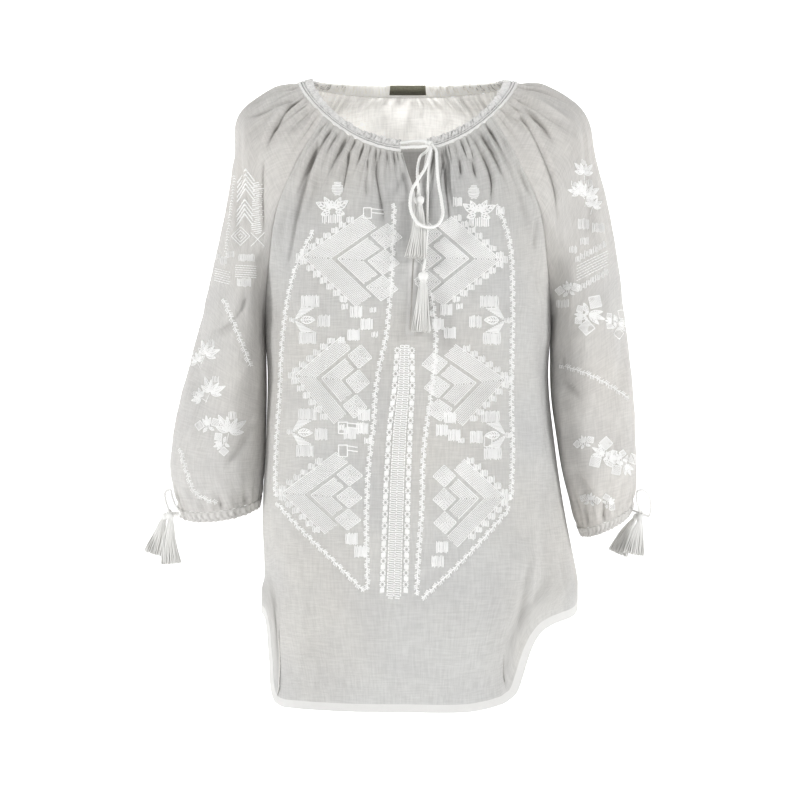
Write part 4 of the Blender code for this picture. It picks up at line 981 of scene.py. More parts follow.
# A tassel's bound head, down from its top
Turned = namedtuple("Turned", "down radius")
NECK_HEAD = table(
    Turned,
    (0, 1.4), (1.6, 4.2), (5.2, 5.4), (9, 4.2), (10.4, 3.2), (12.5, 3.8), (18, 5.6),
)
CUFF_HEAD = table(
    Turned,
    (0, 1.1), (1.3, 3.2), (4, 4.2), (7, 3.3), (8.2, 2.6), (10, 3.2), (14, 4.6),
)

# The radius of a tassel's strand, and how far along a cord its plies go round once
YARN = 0.55
PLY_TURN = 11.0


def lie_on(panel, points, cloth=None, radius=CORD / 2):
    """Moves lying points out in front of the body's cloth or the casing behind them, clear of its gathers."""
    cloud = [panel.points(np.linspace(-0.5, 0.5, 41), row) for row in np.linspace(0, 420, 141)]
    angles = np.linspace(-25, 32, 58)
    cloud += [neck_point(angles, np.full(58, down), np.full(58, 1.0)) for down in range(0, 19, 2)]
    cloud = np.concatenate(cloud)
    placed = []
    for p in points:
        reach = (cloud[:, 0] - p.x) ** 2 + (cloud[:, 2] - p.z) ** 2
        near = np.argsort(reach)[:4]
        weight = 1 / (reach[near] + 0.01)
        y = float((cloud[near, 1] * weight).sum() / weight.sum()) - p.off
        if cloth:
            hit = cloth.ray_cast(Vector((p.x * MM, -0.5, p.z * MM)), Vector((0, 1, 0)))[0]
            y = min(y, hit.y / MM - radius - 0.2) if hit else y
        placed.append(Point(p.x, y, p.z))
    return placed


def spaced(points, step):
    """The smooth line through points, with a point about every step millimetres."""
    points = np.array(points, float)
    knots = np.concatenate([[0], np.cumsum(np.linalg.norm(np.diff(points, axis=0), axis=1))])
    return through(knots, points, np.linspace(0, knots[-1], max(int(round(knots[-1] / step)), 2) + 1))


def carried_frames(line, closed=False):
    """Two directions across a line at each of its points, carried along it without a twist."""
    ahead = unit(np.gradient(line, axis=0))
    if closed:
        ahead = unit(np.roll(line, -1, axis=0) - np.roll(line, 1, axis=0))
    side = np.cross(ahead[0], [0.31, -0.2, 0.93])
    sides = []
    for way in ahead:
        side = unit(side - way * np.dot(side, way))
        sides.append(side)
    sides = np.array(sides)
    return sides, np.cross(ahead, sides)


def plied_rings(line, diameter, closed=False, ends=0.0):
    """Outlines of a cord of three plies laid round each other along a line."""
    across, over = carried_frames(line, closed)
    steps = np.linalg.norm(np.diff(line, axis=0, append=line[:1] if closed else line[-1:]), axis=1)
    way = np.concatenate([[0], np.cumsum(steps)[:-1]])
    total = steps.sum()
    turn = -2 * math.pi * way / PLY_TURN
    if closed:
        wanted = round(total / PLY_TURN * 3) / 3
        last = across[-1]
        turned = np.dot(np.cross(last, across[0]), unit(line[0] - line[-1]))
        slip = math.atan2(turned, np.dot(last, across[0]))
        turn = -(2 * math.pi * wanted - slip) * way / total
    radius = diameter / 2
    angle = 2 * math.pi * np.arange(12) / 12
    within = (angle + math.pi / 3) % (2 * math.pi / 3) - math.pi / 3
    outline = radius * (0.4 * np.cos(within) + np.sqrt(0.36 - (0.4 * np.sin(within)) ** 2))
    taper = np.ones(len(line))
    if ends:
        taper = 0.35 + 0.65 * smooth(np.minimum(way, total - way) / ends)
    rings = []
    for k in range(len(line)):
        spin = angle + turn[k]
        out = across[k] * np.cos(spin)[:, None] + over[k] * np.sin(spin)[:, None]
        rings.append(line[k] + out * (outline * taper[k])[:, None])
    return rings, way


def cord_object(name, points, diameter, material):
    """A twisted drawcord along a smooth line through points. Returns it and its line."""
    line = spaced(points, 0.95)
    rings, way = plied_rings(line, diameter, ends=0.8)
    return lofted(name, rings, material, False, way, np.arange(12) * 1.0), line


def knot_object(name, centre, size, diameter, axis, material):
    """A tight overhand knot: a tube that runs round in three lobes and through itself."""
    t = np.linspace(0, 2 * math.pi, 96, endpoint=False)
    scale = (size / 2 - diameter / 2) / 3
    flat = stack(np.sin(t) + 2 * np.sin(2 * t), np.cos(t) - 2 * np.cos(2 * t), -np.sin(3 * t) * 1.15) * scale
    axis = unit(np.array(axis, float))
    across = unit(np.cross(axis, [0.2, 0.0, 1.0]))
    over = np.cross(axis, across)
    line = np.array(centre) + flat[:, :1] * across + flat[:, 1:2] * over + flat[:, 2:] * axis
    rings, way = plied_rings(line, diameter, closed=True)
    return lofted(name, rings, material, True, way, np.arange(12) * 1.0)


def thread_tree():
    """Geometry nodes that turn loose edges into round threads."""
    tree = bpy.data.node_groups.new("threads", "GeometryNodeTree")
    face = tree.interface
    face.new_socket("Geometry", in_out="INPUT", socket_type="NodeSocketGeometry")
    face.new_socket("Thread radius", in_out="INPUT", socket_type="NodeSocketFloat")
    face.new_socket("Sides", in_out="INPUT", socket_type="NodeSocketInt")
    face.new_socket("Material", in_out="INPUT", socket_type="NodeSocketMaterial")
    face.new_socket("Geometry", in_out="OUTPUT", socket_type="NodeSocketGeometry")
    nodes = {
        "start": tree.nodes.new("NodeGroupInput"),
        "curve": tree.nodes.new("GeometryNodeMeshToCurve"),
        "outline": tree.nodes.new("GeometryNodeCurvePrimitiveCircle"),
        "tube": tree.nodes.new("GeometryNodeCurveToMesh"),
        "soft": tree.nodes.new("GeometryNodeSetShadeSmooth"),
        "real": tree.nodes.new("GeometryNodeRealizeInstances"),
        "paint": tree.nodes.new("GeometryNodeSetMaterial"),
        "end": tree.nodes.new("NodeGroupOutput"),
    }
    nodes["tube"].inputs["Fill Caps"].default_value = True
    wires = [
        ("start", "Geometry", "curve", "Mesh"),
        ("start", "Thread radius", "outline", "Radius"),
        ("start", "Sides", "outline", "Resolution"),
        ("curve", "Curve", "tube", "Curve"),
        ("outline", "Curve", "tube", "Profile Curve"),
        ("tube", "Mesh", "soft", "Geometry"),
        ("soft", "Geometry", "real", "Geometry"),
        ("real", "Geometry", "paint", "Geometry"),
        ("start", "Material", "paint", "Material"),
        ("paint", "Geometry", "end", "Geometry"),
    ]
    for first, out, second, into in wires:
        tree.links.new(nodes[first].outputs[out], nodes[second].inputs[into])
    return tree


def thread_object(name, lines, radius, sides, tree, material):
    """Round threads along many lines of points, as one mesh."""
    points = np.concatenate(lines)
    ends = np.cumsum([len(line) for line in lines])
    edges = np.stack([np.arange(len(points) - 1), np.arange(1, len(points))], axis=1)
    edges = np.delete(edges, ends[:-1] - 1, axis=0)
    sketch = bpy.data.meshes.new(name + "_lines")
    sketch.from_pydata((points * MM).tolist(), edges.tolist(), [])
    drawn = link(name + "_lines", sketch, material)
    modifier = drawn.modifiers.new("threads", "NODES")
    modifier.node_group = tree
    values = {"Thread radius": radius * MM, "Sides": sides, "Material": material}
    for item in tree.interface.items_tree:
        if item.in_out == "INPUT" and item.name in values:
            modifier[item.identifier] = values[item.name]
    bpy.context.view_layer.update()
    evaluated = drawn.evaluated_get(bpy.context.evaluated_depsgraph_get())
    mesh = bpy.data.meshes.new_from_object(evaluated)
    mesh.name = name
    bpy.data.objects.remove(drawn)
    outward = bmesh.new()
    outward.from_mesh(mesh)
    if outward.calc_volume(signed=True) < 0:
        bmesh.ops.reverse_faces(outward, faces=outward.faces)
    outward.to_mesh(mesh)
    outward.free()
    made = bpy.data.objects.new(name, mesh)
    bpy.context.scene.collection.objects.link(made)
    return made


def merged(name, pieces):
    """One object from several finished meshes that share a material."""
    whole = bmesh.new()
    for piece in pieces:
        whole.from_mesh(piece.data)
    mesh = bpy.data.meshes.new(name)
    whole.to_mesh(mesh)
    whole.free()
    material = pieces[0].data.materials[0]
    for piece in pieces:
        bpy.data.objects.remove(piece)
    return link(name, mesh, material)


def tassel(name, line, head, spread, flatten, strands, tree, material, seed):
    """A tassel along a line of three points: a head wound with yarn, and a skirt of loose strands."""
    line = spaced(line, 2)
    length = np.concatenate([[0], np.cumsum(np.linalg.norm(np.diff(line, axis=0), axis=1))])
    total = length[-1]

    def along(down):
        return np.array([np.interp(down, length, line[:, k]) for k in range(3)])

    def across(down):
        axis = unit(along(min(down + 1, total)) - along(max(down - 1, 0)))
        wide = unit(np.cross(axis, [0.0, -1.0, 0.0]))
        return wide, unit(np.cross(wide, axis))

    profile_down = [turned.down for turned in head]
    profile_radius = [turned.radius for turned in head]
    angle = 2 * math.pi * np.arange(28) / 28
    rings = []
    bound = head[-2].down
    for down in np.arange(0.0, bound + 2.2, 0.32):
        radius = through(profile_down, profile_radius, down)[0]
        wraps = np.abs(np.sin(math.pi * (down / 1.05 + angle / (2 * math.pi))))
        fine = 0.45 if down < bound - 3 else 0.6
        radius = radius - 0.2 + fine * wraps
        if down > bound:
            radius = radius * (1 - 0.25 * (down - bound))
        wide, deep = across(down)
        out = wide * np.cos(angle)[:, None] + deep * np.sin(angle)[:, None]
        rings.append(along(down) + out * radius[:, None])
    ball = lofted(name + "_head", rings, material, False, np.arange(len(rings)) * 0.32, np.arange(28) * 1.0)

    lines = []
    waist = head[-2].radius * 0.82
    start = bound - 0.6
    for k in range(strands):
        turn = k * 2.39996 + seed
        place = math.sqrt((k + 0.5) / strands)
        longest = total - start - uneven(k + seed, 0, 3.2)
        sway = uneven(k + seed + 500, -1.0, 1.0)
        strand = []
        for share in np.linspace(0, 1, 10):
            down = start + longest * share
            radius = np.interp(share, [0, 0.12, 0.5, 1], [waist, head[-1].radius * 0.9, spread[0], spread[1]])
            flat = 1 - (1 - flatten) * smooth(share / 0.3)
            wide, deep = across(min(down, total))
            bend = 0.9 * sway * math.sin(share * 5 + k) * share
            reach = radius * place
            x = reach * math.cos(turn) + bend
            y = (reach * flat + 0.25) * math.sin(turn) + bend * 0.4
            strand.append(along(min(down, total)) + wide * x + deep * y)
        lines.append(np.array(strand))
    skirt = thread_object(name + "_skirt", lines, YARN, 4, tree, material)
    return merged(name, [ball, skirt])


# Embroidery, planned in the front view in x and z. A motif's arms run from its point to two ends.
Motif = namedtuple("Motif", "apex up down")
MOTIFS = table(
    Motif,
    ((-120, -210), (-51, -163), (-59, -268)),
    ((-130, -346), (-76, -302), (-84, -401)),
    ((-145, -481), (-81, -433), (-94, -526)),
    ((105, -214), (48.5, -165), (38, -268)),
    ((111, -351), (53, -311), (61, -403)),
    ((110, -485), (63, -441), (55, -540)),
)

# The way between rows, a stitch's length, the threads' radii, and how high a stitch rises off the cloth
HATCH = 1.75
STITCH = 3.1
FRONT_THREAD = 0.74
SLEEVE_THREAD = 0.52
STITCH_LIFT = 0.42


def straight(a, b):
    """One stitch from a to b, with a point in its middle."""
    a = np.array(a, float)
    b = np.array(b, float)
    return [a, (a + b) / 2, b]


def heading(degrees):
    """The direction at an angle up from level, in x and z."""
    turn = math.radians(degrees)
    return np.array([math.cos(turn), math.sin(turn)])


def running(a, b, stitch=STITCH, offset=0.0, gap=0.5):
    """A row of running stitches from a to b."""
    a = np.array(a, float)
    b = np.array(b, float)
    length = np.linalg.norm(b - a)
    if length < 1.0:
        return []
    way = (b - a) / length
    made = []
    at = -offset * stitch
    while at < length:
        first = max(at + gap / 2, 0)
        last = min(at + stitch - gap / 2, length)
        if last - first > 0.8:
            made.append([a + way * first, a + way * (first + last) / 2, a + way * last])
        at += stitch
    return made


def satin(left, right, pitch=1.15):
    """Stitches side by side from one line to another."""
    left = np.array(left, float)
    right = np.array(right, float)
    length = max(np.linalg.norm(np.diff(line, axis=0), axis=1).sum() for line in (left, right))
    count = max(int(length / pitch), 1)
    knots = np.linspace(0, 1, len(left))
    made = []
    for k in range(count + 1):
        share = k / count
        a = np.array([np.interp(share, knots, left[:, n]) for n in range(2)])
        b = np.array([np.interp(share, knots, right[:, n]) for n in range(2)])
        made.append(straight(a, b))
    return made


def block(x, z, wide, tall, pitch=1.35):
    """A small block of upright satin stitches with uneven ends, given by its middle."""
    made = []
    count = max(int(wide / pitch), 2)
    for k in range(count + 1):
        at = x - wide / 2 + wide * k / count
        low = z - tall / 2 - uneven(k + x, -0.9, 0.9)
        high = z + tall / 2 + uneven(k + z, -0.9, 0.9)
        made.append([(at, low), (at + uneven(k, -0.3, 0.3), (low + high) / 2), (at, high)])
    return made


def leaf(base, tip, width, pitch=2.1):
    """A leaf outlined in stem stitch, with slanting stitches on both sides of its vein."""
    base = np.array(base, float)
    tip = np.array(tip, float)
    axis = tip - base
    length = np.linalg.norm(axis)
    axis = axis / length
    side = np.array([-axis[1], axis[0]])

    def edge(share, hand):
        half = width / 2 * math.sin(math.pi * share ** 0.8) ** 0.9
        return base + axis * length * share + side * half * hand

    made = [[base, base + axis * length * 0.45, base + axis * length * 0.9]]
    for hand in (-1, 1):
        for first in np.arange(0, 0.99, 0.25):
            made.append([edge(first, hand), edge(first + 0.125, hand), edge(min(first + 0.25, 1), hand)])
        for k in range(1, max(int(length / pitch), 3)):
            share = k * pitch / length
            if share < 0.85:
                vein = base + axis * length * share * 0.8
                end = edge(min(share + 0.12, 1), hand)
                made.append(straight(vein, end))
    return made


def flower(x, z, hand):
    """A bell flower: a bud of level stitches, a pair of leaves at each side, and a cup on a small block."""
    made = []
    for k in range(9):
        half = 3.0 + 3.4 * math.sin(math.pi * (k + 0.5) / 9) + uneven(k + x, -0.6, 0.6)
        level = z + 27 - 1.8 * k
        middle = x + hand * 5
        made.append([(middle - half, level), (middle, level + 0.5), (middle + half, level)])
    root = np.array([x, z - 6.0])
    petals = ((152, 22, 7), (122, 19, 5), (60, 18, 5), (34, 21, 7), (98, 12, 5), (198, 14, 5), (-16, 14, 5))
    for turn, long, wide in petals:
        way = np.array([hand * math.cos(math.radians(turn)), math.sin(math.radians(turn))])
        made += leaf(root + way * 3.5, root + way * long, wide + 1, 4.2)
    for k in range(3):
        reach = 8.5 - 2.6 * k
        turns = np.linspace(0, math.pi, 7)
        rim = [np.array([x + reach * math.cos(t), z + 4 - reach * 0.8 * math.sin(t)]) for t in turns]
        made += [rim[0:3], rim[2:5], rim[4:7]]
    made += block(x - hand * 1, z - 15, 21, 10, 2.0)
    return made


def vine(points, pitch=6.0, size=4.2):
    """A stem of small stitches with a leaf to the left and right in turn."""
    line = spaced(np.array([(x, 0, z) for x, z in points], float), pitch)[:, [0, 2]]
    made = []
    for k in range(len(line) - 1):
        a = line[k]
        b = line[k + 1]
        made.append(straight(a, b))
        way = unit(b - a)
        side = np.array([-way[1], way[0]]) * (1 if k % 2 else -1)
        for reach in (0.0, 0.33, 0.66):
            root = a + (b - a) * reach
            end = root + side * size * (0.8 - 0.25 * reach) + way * size * 0.45
            made.append(straight(root, end))
        root = a + (b - a) * 0.5
        end = root - side * size * 0.55 + way * size * 0.3
        made.append(straight(root, end))
    return made


def motif(plan):
    """A nested pair of pointed bands with three squares inside them and steps along their outer edge."""
    apex = np.array(plan.apex, float)
    up = np.array(plan.up, float) - apex
    low = np.array(plan.down, float) - apex
    length = (np.linalg.norm(up), np.linalg.norm(low))
    e1 = up / length[0]
    e2 = low / length[1]

    def spot(p, q):
        return apex + e1 * p + e2 * q

    def band(start, width, reach1, reach2):
        rows = int(width / HATCH)
        for k in range(rows + 1):
            o = start + width * k / rows
            shift = (k * 0.37) % 1
            stitches.extend(running(spot(o, o), spot(reach1, o), offset=shift))
            stitches.extend(running(spot(o, o), spot(o, reach2), offset=shift))
        for a, b in (((start, start), (reach1, start)), ((start, start), (start, reach2))):
            stitches.extend(running(spot(*a), spot(*b), offset=0.5))

    def square(p, q, size):
        rings = int(size / 2 / HATCH)
        for k in range(rings + 1):
            o = size / 2 * k / (rings + 0.5)
            a = (p + o, q + o)
            b = (p + size - o, q + o)
            c = (p + size - o, q + size - o)
            d = (p + o, q + size - o)
            for first, second in ((a, b), (b, c), (c, d), (d, a)):
                stitches.extend(running(spot(*first), spot(*second), offset=(k * 0.5) % 1))

    stitches = []
    wide = 18.5 * min(length) / 80 + 1.0
    inner = wide + 5.4
    scale = min(length) / 80
    band(0.0, wide, length[0], length[1])
    band(inner, 17.0 * scale, inner + 40 * scale, inner + 40 * scale)
    size = 22 * scale
    square(inner + 17.0 * scale + 4.6, inner + 17.0 * scale + 4.6, size)
    square(inner + 40 * scale + 4.6, inner - 1, size)
    square(inner - 1, inner + 40 * scale + 4.6, size)
    for k in range(int(min(length) / 10.6)):
        reach = 2 + 10.6 * k
        for p, q in ((reach + 3, -3.8), (-3.8, reach + 3)):
            x, z = spot(p, q)
            stitches.extend(block(x, z, 7.2, 6.8, 1.25))
    x, z = spot(-2.5, -2.5)
    stitches.extend(block(x, z, 7.4, 7.6, 1.25))
    return stitches


def fan(x, z, hand):
    """Two wedges that open from a point into blocks, a lens between them, and a block beyond."""
    made = block(x + hand * 19, z + 21, 20, 13)
    made += block(x + hand * 16, z - 21, 19, 13)
    made += block(x + hand * 35, z - 2, 13, 13)
    for rise in (1, -1):
        near = (x + hand * 8, z + rise * 14)
        far = (x + hand * 23, z + rise * 13)
        made += satin([(x, z), near], [(x + hand * 2, z), far], 2.7)
    made += leaf((x + hand * 8, z), (x + hand * 25, z), 8.5, 3.0)
    made += block(x - hand * 2.5, z, 4.5, 5)
    return made


def box(x, z, wide, tall, reach):
    """A small outlined square with two long stitches that run on from it."""
    corners = [(x, z), (x + wide, z), (x + wide, z - tall), (x, z - tall), (x, z)]
    made = []
    for first, second in zip(corners[:-1], corners[1:]):
        made += running(first, second, 3.0, 0, 0.2)
    for down in (1.0, tall * 0.45):
        made += running((x + wide, z - down), (x + wide + reach, z - down - 1.5), 4.0, 0, 0.2)
    return made


def placket(left, right):
    """The worked strip below the slit, with eyelets along both edges."""
    left = np.array(left, float)
    right = np.array(right, float)

    def spot(share, down):
        a = np.array([np.interp(-down, -left[:, 1], left[:, 0]), down])
        b = np.array([np.interp(-down, -left[:, 1], right[:, 0]), down])
        return a + (b - a) * share

    made = []
    top = left[0, 1]
    low = left[-1, 1]
    for low_share, high_share in ((0.30, 0.47), (0.53, 0.70)):
        for down in np.arange(top, low, -2.5):
            a = spot(low_share, down)
            b = spot(high_share, down - 0.7)
            made.append(straight(a, b))
    for share in (0.27, 0.5, 0.73):
        for down in np.arange(top, low + 3, -4.0):
            a = spot(share, down)
            b = spot(share, down - 3.0)
            made.append(straight(a, b))
    for share, hand in ((0.1, -1), (0.9, 1)):
        for down in np.arange(top - 6, low + 4, -13.2):
            for k in range(10):
                turn = 2 * math.pi * k / 10
                centre = spot(share, down)
                way = np.array([math.cos(turn), 1.2 * math.sin(turn)])
                made.append([centre + way * 1.7, centre + way * 2.5, centre + way * 3.3])
            for step in (4.6, 5.9, 7.2, 8.5):
                a = spot(share, down - step) + np.array([-2.4 * hand, 0.4])
                b = spot(share, down - step) + np.array([2.8 * hand, -0.4])
                made.append(straight(a, b))
    return made


# The small blocks of the front by their middles, its stems, and both edges of the strip below the slit
LARGE_BLOCKS = [
    *((-59, -274), (-47, -288), (-62, -300), (-50, -391), (-52, -406), (-66, -412), (-64, -531), (-54, -545)),
    *((43, -272), (33, -288), (47, -298), (47, -394), (38, -408), (52, -414), (38, -540), (33, -556)),
]
SMALL_BLOCKS = [
    *((-72, -268), (-38, -300), (-40, -272), (-76, -306), (-46, -420)),
    *((58, -268), (26, -276), (60, -420), (-76, -405)),
]
FRONT_VINES = [
    [
        *((-16, -150), (-17, -185), (-18, -221), (-22, -272), (-25, -302), (-32, -333)),
        *((-37, -364), (-39, -400), (-44, -440), (-47, -491), (-46, -588)),
    ],
    [(25, -250), (30, -283), (25, -374), (21, -400), (17, -436), (15, -500), (12, -540), (9, -594)],
    [(-108, -180), (-126, -215), (-137, -250), (-144, -294), (-149, -373), (-153, -440), (-153, -486)],
    [(102, -150), (116, -195), (119, -240), (119, -300), (118, -374), (119, -440), (117, -488)],
    [(-152, -492), (-120, -524), (-85, -556), (-50, -590)],
    [(116, -496), (84, -532), (50, -566), (15, -598)],
]
PLACKET_LEFT = [(-14, -312), (-18, -360), (-24, -405), (-28, -465), (-33, -598)]
PLACKET_RIGHT = [(6, -312), (7, -360), (5, -405), (3, -465), (0, -598)]


def front_embroidery():
    """Every stitch on the front, as lines in x and z."""
    made = []
    for plan in MOTIFS:
        made += motif(plan)
    made += fan(-131, -282, 1) + fan(-134, -411, 1) + fan(111, -283, -1) + fan(112, -414, -1)
    for x, z in LARGE_BLOCKS:
        made += block(x, z, 12.5, 12.5)
    for x, z in SMALL_BLOCKS:
        made += block(x, z, 6, 6)
    made += flower(-86, -152, 1) + flower(80, -156, -1)
    made += box(-51, -155, 9, 12, 14) + box(-79, -399, 10, 13, 14) + box(-79, -425, 10, 13, 12)
    made += box(86, -415, 9, 12, 0) + block(105, -158, 8, 9) + block(56, -148, 9, 10)
    for points in FRONT_VINES:
        made += vine(points)
    made += placket(PLACKET_LEFT, PLACKET_RIGHT)
    return made


def chevrons(x, z, half, count, step):
    """A column of pointed lines, one above the other."""
    made = []
    for k in range(count):
        top = np.array([x, z - k * step])
        for hand in (-1, 1):
            end = top + np.array([hand * half, -half * 1.35])
            made += running(top, end, 4.0, 0.0, 0.2)
            made += running(top - [0, 1.3], end - [0, 1.3], 4.0, 0.5, 0.2)
    return made


def sprig(x, z, size, facing, spread=72):
    """A knot with two square tulips to its sides, pointed leaves between them, and small leaves behind."""
    base = np.array([x, z], float)

    def toward(lean):
        return heading(facing + lean)

    made = block(x, z, 4, 4)
    for hand in (1, -1):
        lean = spread * hand
        near = base + toward(lean) * size * 0.3
        tip = base + toward(lean) * size * 1.15
        first = base + toward(lean + 30) * size * 0.85
        second = base + toward(lean - 30) * size * 0.85
        made += satin([near, first, tip], [near, second, tip], 1.9)
        for a, b in ((near, first), (first, tip), (tip, second), (second, near)):
            made += running(a, b, 3.2, 0, 0.2)
    for lean, long in ((0, 0.95), (26, 0.8), (-26, 0.8), (128, 0.6), (-128, 0.6)):
        made += leaf(base + toward(lean) * 2, base + toward(lean) * size * long, size * 0.24, 2.6)
    return made


def tulip(x, z, size, facing):
    """An open flower on a short stem: two arched leaves and a block between them."""
    base = np.array([x, z], float)

    def toward(lean):
        return heading(facing + lean)

    made = running(base - toward(0) * size * 0.6, base, 3.0, 0, 0.2)
    for turn, long, wide in ((42, 1.0, 0.3), (18, 0.8, 0.22), (75, 0.7, 0.25)):
        for lean in (turn, -turn):
            made += leaf(base + toward(lean) * 1.5, base + toward(lean) * size * long, size * wide, 2.4)
    middle = base + toward(0) * size * 0.85
    made += block(middle[0], middle[1], size * 0.32, size * 0.36)
    return made


def sleeve_right_embroidery():
    """The wearer's right sleeve, which is on the viewer's left."""
    made = chevrons(-188, -106, 11, 5, 5.6) + chevrons(-189, -141, 10, 4, 5.6)
    for half in (11, 7, 3):
        for hand in (-1, 1):
            made += running((-194, -173 - 11 + half), (-194 + hand * half, -184), 3.4, 0, 0.2)
            made += running((-194, -184 - half), (-194 + hand * half, -184), 3.4, 0, 0.2)
    for k in range(26):
        down = -124 - 2.3 * k
        middle = -174 + uneven(k, -2.0, 2.0)
        half = 3.0 + 3.0 * abs(math.sin(k * 0.5))
        made.append([(middle - half, down), (middle, down + 0.6), (middle + half, down + 1.2)])
    for k in range(30):
        down = -112 - 3.3 * k
        middle = -203 - 0.09 * k * 3.3 + uneven(k + 40, -1.0, 1.0)
        made.append([(middle - 1.8, down), (middle, down + 0.8), (middle + 1.8, down - 0.8)])
    made += running((-182, -180), (-166, -196), 3.2, 0, 0.2)
    made += running((-182, -196), (-166, -180), 3.2, 0, 0.2)
    made += block(-187, -209, 17, 8) + block(-190, -238, 15, 9)
    for k in range(6):
        made += running((-200, -218 - 2.6 * k), (-176, -219 - 2.6 * k), 3.2, (k * 0.5) % 1)
    made += block(-206, -205, 8, 8) + block(-214, -212, 7, 9) + block(-222, -206, 6, 7)
    for k in range(6):
        made += running((-226, -220 - 2.8 * k), (-206, -226 - 2.8 * k), 3.6, (k * 0.5) % 1, 0.8)
    made += vine([(-214, -256), (-206, -276), (-196, -300), (-183, -335)], 6.0, 4.6)
    made += tulip(-236, -322, 19, 62) + tulip(-246, -330, 15, 118)
    made += tulip(-230, -366, 20, 66) + tulip(-240, -372, 13, 150)
    made += tulip(-208, -412, 24, 78) + sprig(-232, -405, 14, 100) + sprig(-214, -424, 13, 200)
    made += vine([(-266, -430), (-258, -456), (-247, -482), (-222, -494)], 6.0, 4.4)
    return made


def sleeve_left_embroidery():
    """The wearer's left sleeve, which is on the viewer's right."""
    made = tulip(204, -112, 17, 92) + tulip(207, -138, 20, 78)
    made += tulip(199, -134, 15, 128) + tulip(214, -150, 15, 75)
    made += block(203, -170, 12, 12) + block(221, -174, 14, 11)
    made += block(204, -190, 9, 8) + block(191, -200, 8, 8)
    for a, b in (((194, -212), (230, -192)), ((196, -246), (232, -224))):
        a = np.array(a, float)
        b = np.array(b, float)
        count = 7
        for k in range(count):
            x, z = a + (b - a) * (k + 0.5) / count
            made += block(x, z, 4.6, 6.5, 1.3)
    for k in range(6):
        made += running((195, -219 - 3.4 * k), (233, -200 - 3.2 * k), 4.2, (k * 0.5) % 1, 0.8)
    made += sprig(186, -248, 13, 100) + block(180, -262, 12, 9)
    made += sprig(208, -274, 22, -18, 76) + sprig(204, -276, 12, 172, 50)
    made += sprig(244, -284, 17, -12, 70) + sprig(238, -282, 10, 180, 50)
    made += vine([(177, -333), (204, -342), (232, -356), (258, -372)], 6.0, 4.6)
    made += sprig(229, -438, 19, 150, 62) + sprig(232, -440, 11, -20, 50)
    made += sprig(252, -448, 17, -60, 84) + sprig(248, -444, 11, 130, 50)
    made += sprig(205, -425, 11, 110) + sprig(212, -492, 11, 80) + sprig(232, -494, 10, 30)
    return made


def on_cloth(stitches, surface, lift):
    """Stitches of a front view laid on the cloth behind them, rising in their middles."""
    lines = []
    for stitch in stitches:
        line = []
        for k, (x, z) in enumerate(stitch):
            place, normal, _, _ = surface.ray_cast(Vector((x * MM, -0.5, z * MM)), Vector((0, 1, 0)))
            if place is None or abs(normal.y) < 0.12:
                break
            off = lift if 0 < k < len(stitch) - 1 else 0.02
            line.append(np.array(place) / MM + np.array(normal) * (off if normal.y < 0 else -off))
        if len(line) == len(stitch) and np.abs(np.diff([p[1] for p in line])).max() < 7:
            lines.append(np.array(line))
    return lines


class Shader:
    """A material whose surface node is set up value by value."""

    def __init__(self, name, roughness, sheen):
        self.material = bpy.data.materials.new(name)
        self.material.use_nodes = True
        self.tree = self.material.node_tree
        self.surface = self.tree.nodes["Principled BSDF"]
        self.surface.inputs["Roughness"].default_value = roughness
        self.surface.inputs["Sheen Weight"].default_value = sheen
        self.surface.inputs["Sheen Roughness"].default_value = 0.5
        self.surface.inputs["Specular IOR Level"].default_value = 0.25

    def node(self, kind, **settings):
        """A new node with its settings, each the name of an input or of a property."""
        made = self.tree.nodes.new(kind)
        for key, value in settings.items():
            if key in made.inputs:
                made.inputs[key].default_value = value
            else:
                setattr(made, key, value)
        return made

    def wire(self, out, into):
        self.tree.links.new(out, into)

    def feed(self, sockets, values):
        """Gives each socket its value, which may be a number, a colour or another node's output."""
        for socket, value in zip(sockets, values):
            if isinstance(value, bpy.types.NodeSocket):
                self.wire(value, socket)
            else:
                socket.default_value = value if socket.type == "VALUE" else (*value, 1)

    def mix(self, share, first, second, blend="MIX"):
        """A colour between two others. Each may be a colour or another node's output."""
        made = self.tree.nodes.new("ShaderNodeMix")
        made.data_type = "RGBA"
        made.blend_type = blend
        self.feed((made.inputs["Factor"], made.inputs[6], made.inputs[7]), (share, first, second))
        return made.outputs[2]

    def noise(self, vector, scale, detail=2.0, roughness=0.5):
        """Noise between 0 and 1 at a vector."""
        made = self.node("ShaderNodeTexNoise", Scale=scale, Detail=detail, Roughness=roughness)
        self.wire(vector, made.inputs["Vector"])
        return made.outputs["Fac"]

    def span(self, value, low, high, to_low=0.0, to_high=1.0):
        """A value from low to high made one from to_low to to_high."""
        limits = {"From Min": low, "From Max": high, "To Min": to_low, "To Max": to_high}
        made = self.node("ShaderNodeMapRange", **limits)
        self.wire(value, made.inputs["Value"])
        return made.outputs["Result"]

    def math(self, operation, first, second=0.0):
        """Arithmetic on two values. Each may be a number or another node's output."""
        made = self.tree.nodes.new("ShaderNodeMath")
        made.operation = operation
        self.feed(made.inputs, (first, second))
        return made.outputs[0]

    def painted_cavity_shade(self, distance, darkest):
        """Painted shade: a grey factor from the occlusion of the piece's own surface, which falls to darkest
        deep in narrow folds and between threads.
        """
        made = self.tree.nodes.new("ShaderNodeAmbientOcclusion")
        made.samples = 6
        made.only_local = True
        made.inputs["Distance"].default_value = distance
        return self.span(made.outputs["AO"], 0.25, 0.92, darkest, 1.0)

    def bump(self, height, distance, strength=1.0):
        """Fine relief from a height."""
        made = self.node("ShaderNodeBump", Distance=distance, Strength=strength)
        self.wire(height, made.inputs["Height"])
        self.wire(made.outputs["Normal"], self.surface.inputs["Normal"])


def stretched(shader, vector, x, y):
    """A vector scaled differently along and across the cloth."""
    made = shader.node("ShaderNodeMapping", Scale=(x, y, 1))
    shader.wire(vector, made.inputs["Vector"])
    return made.outputs["Vector"]


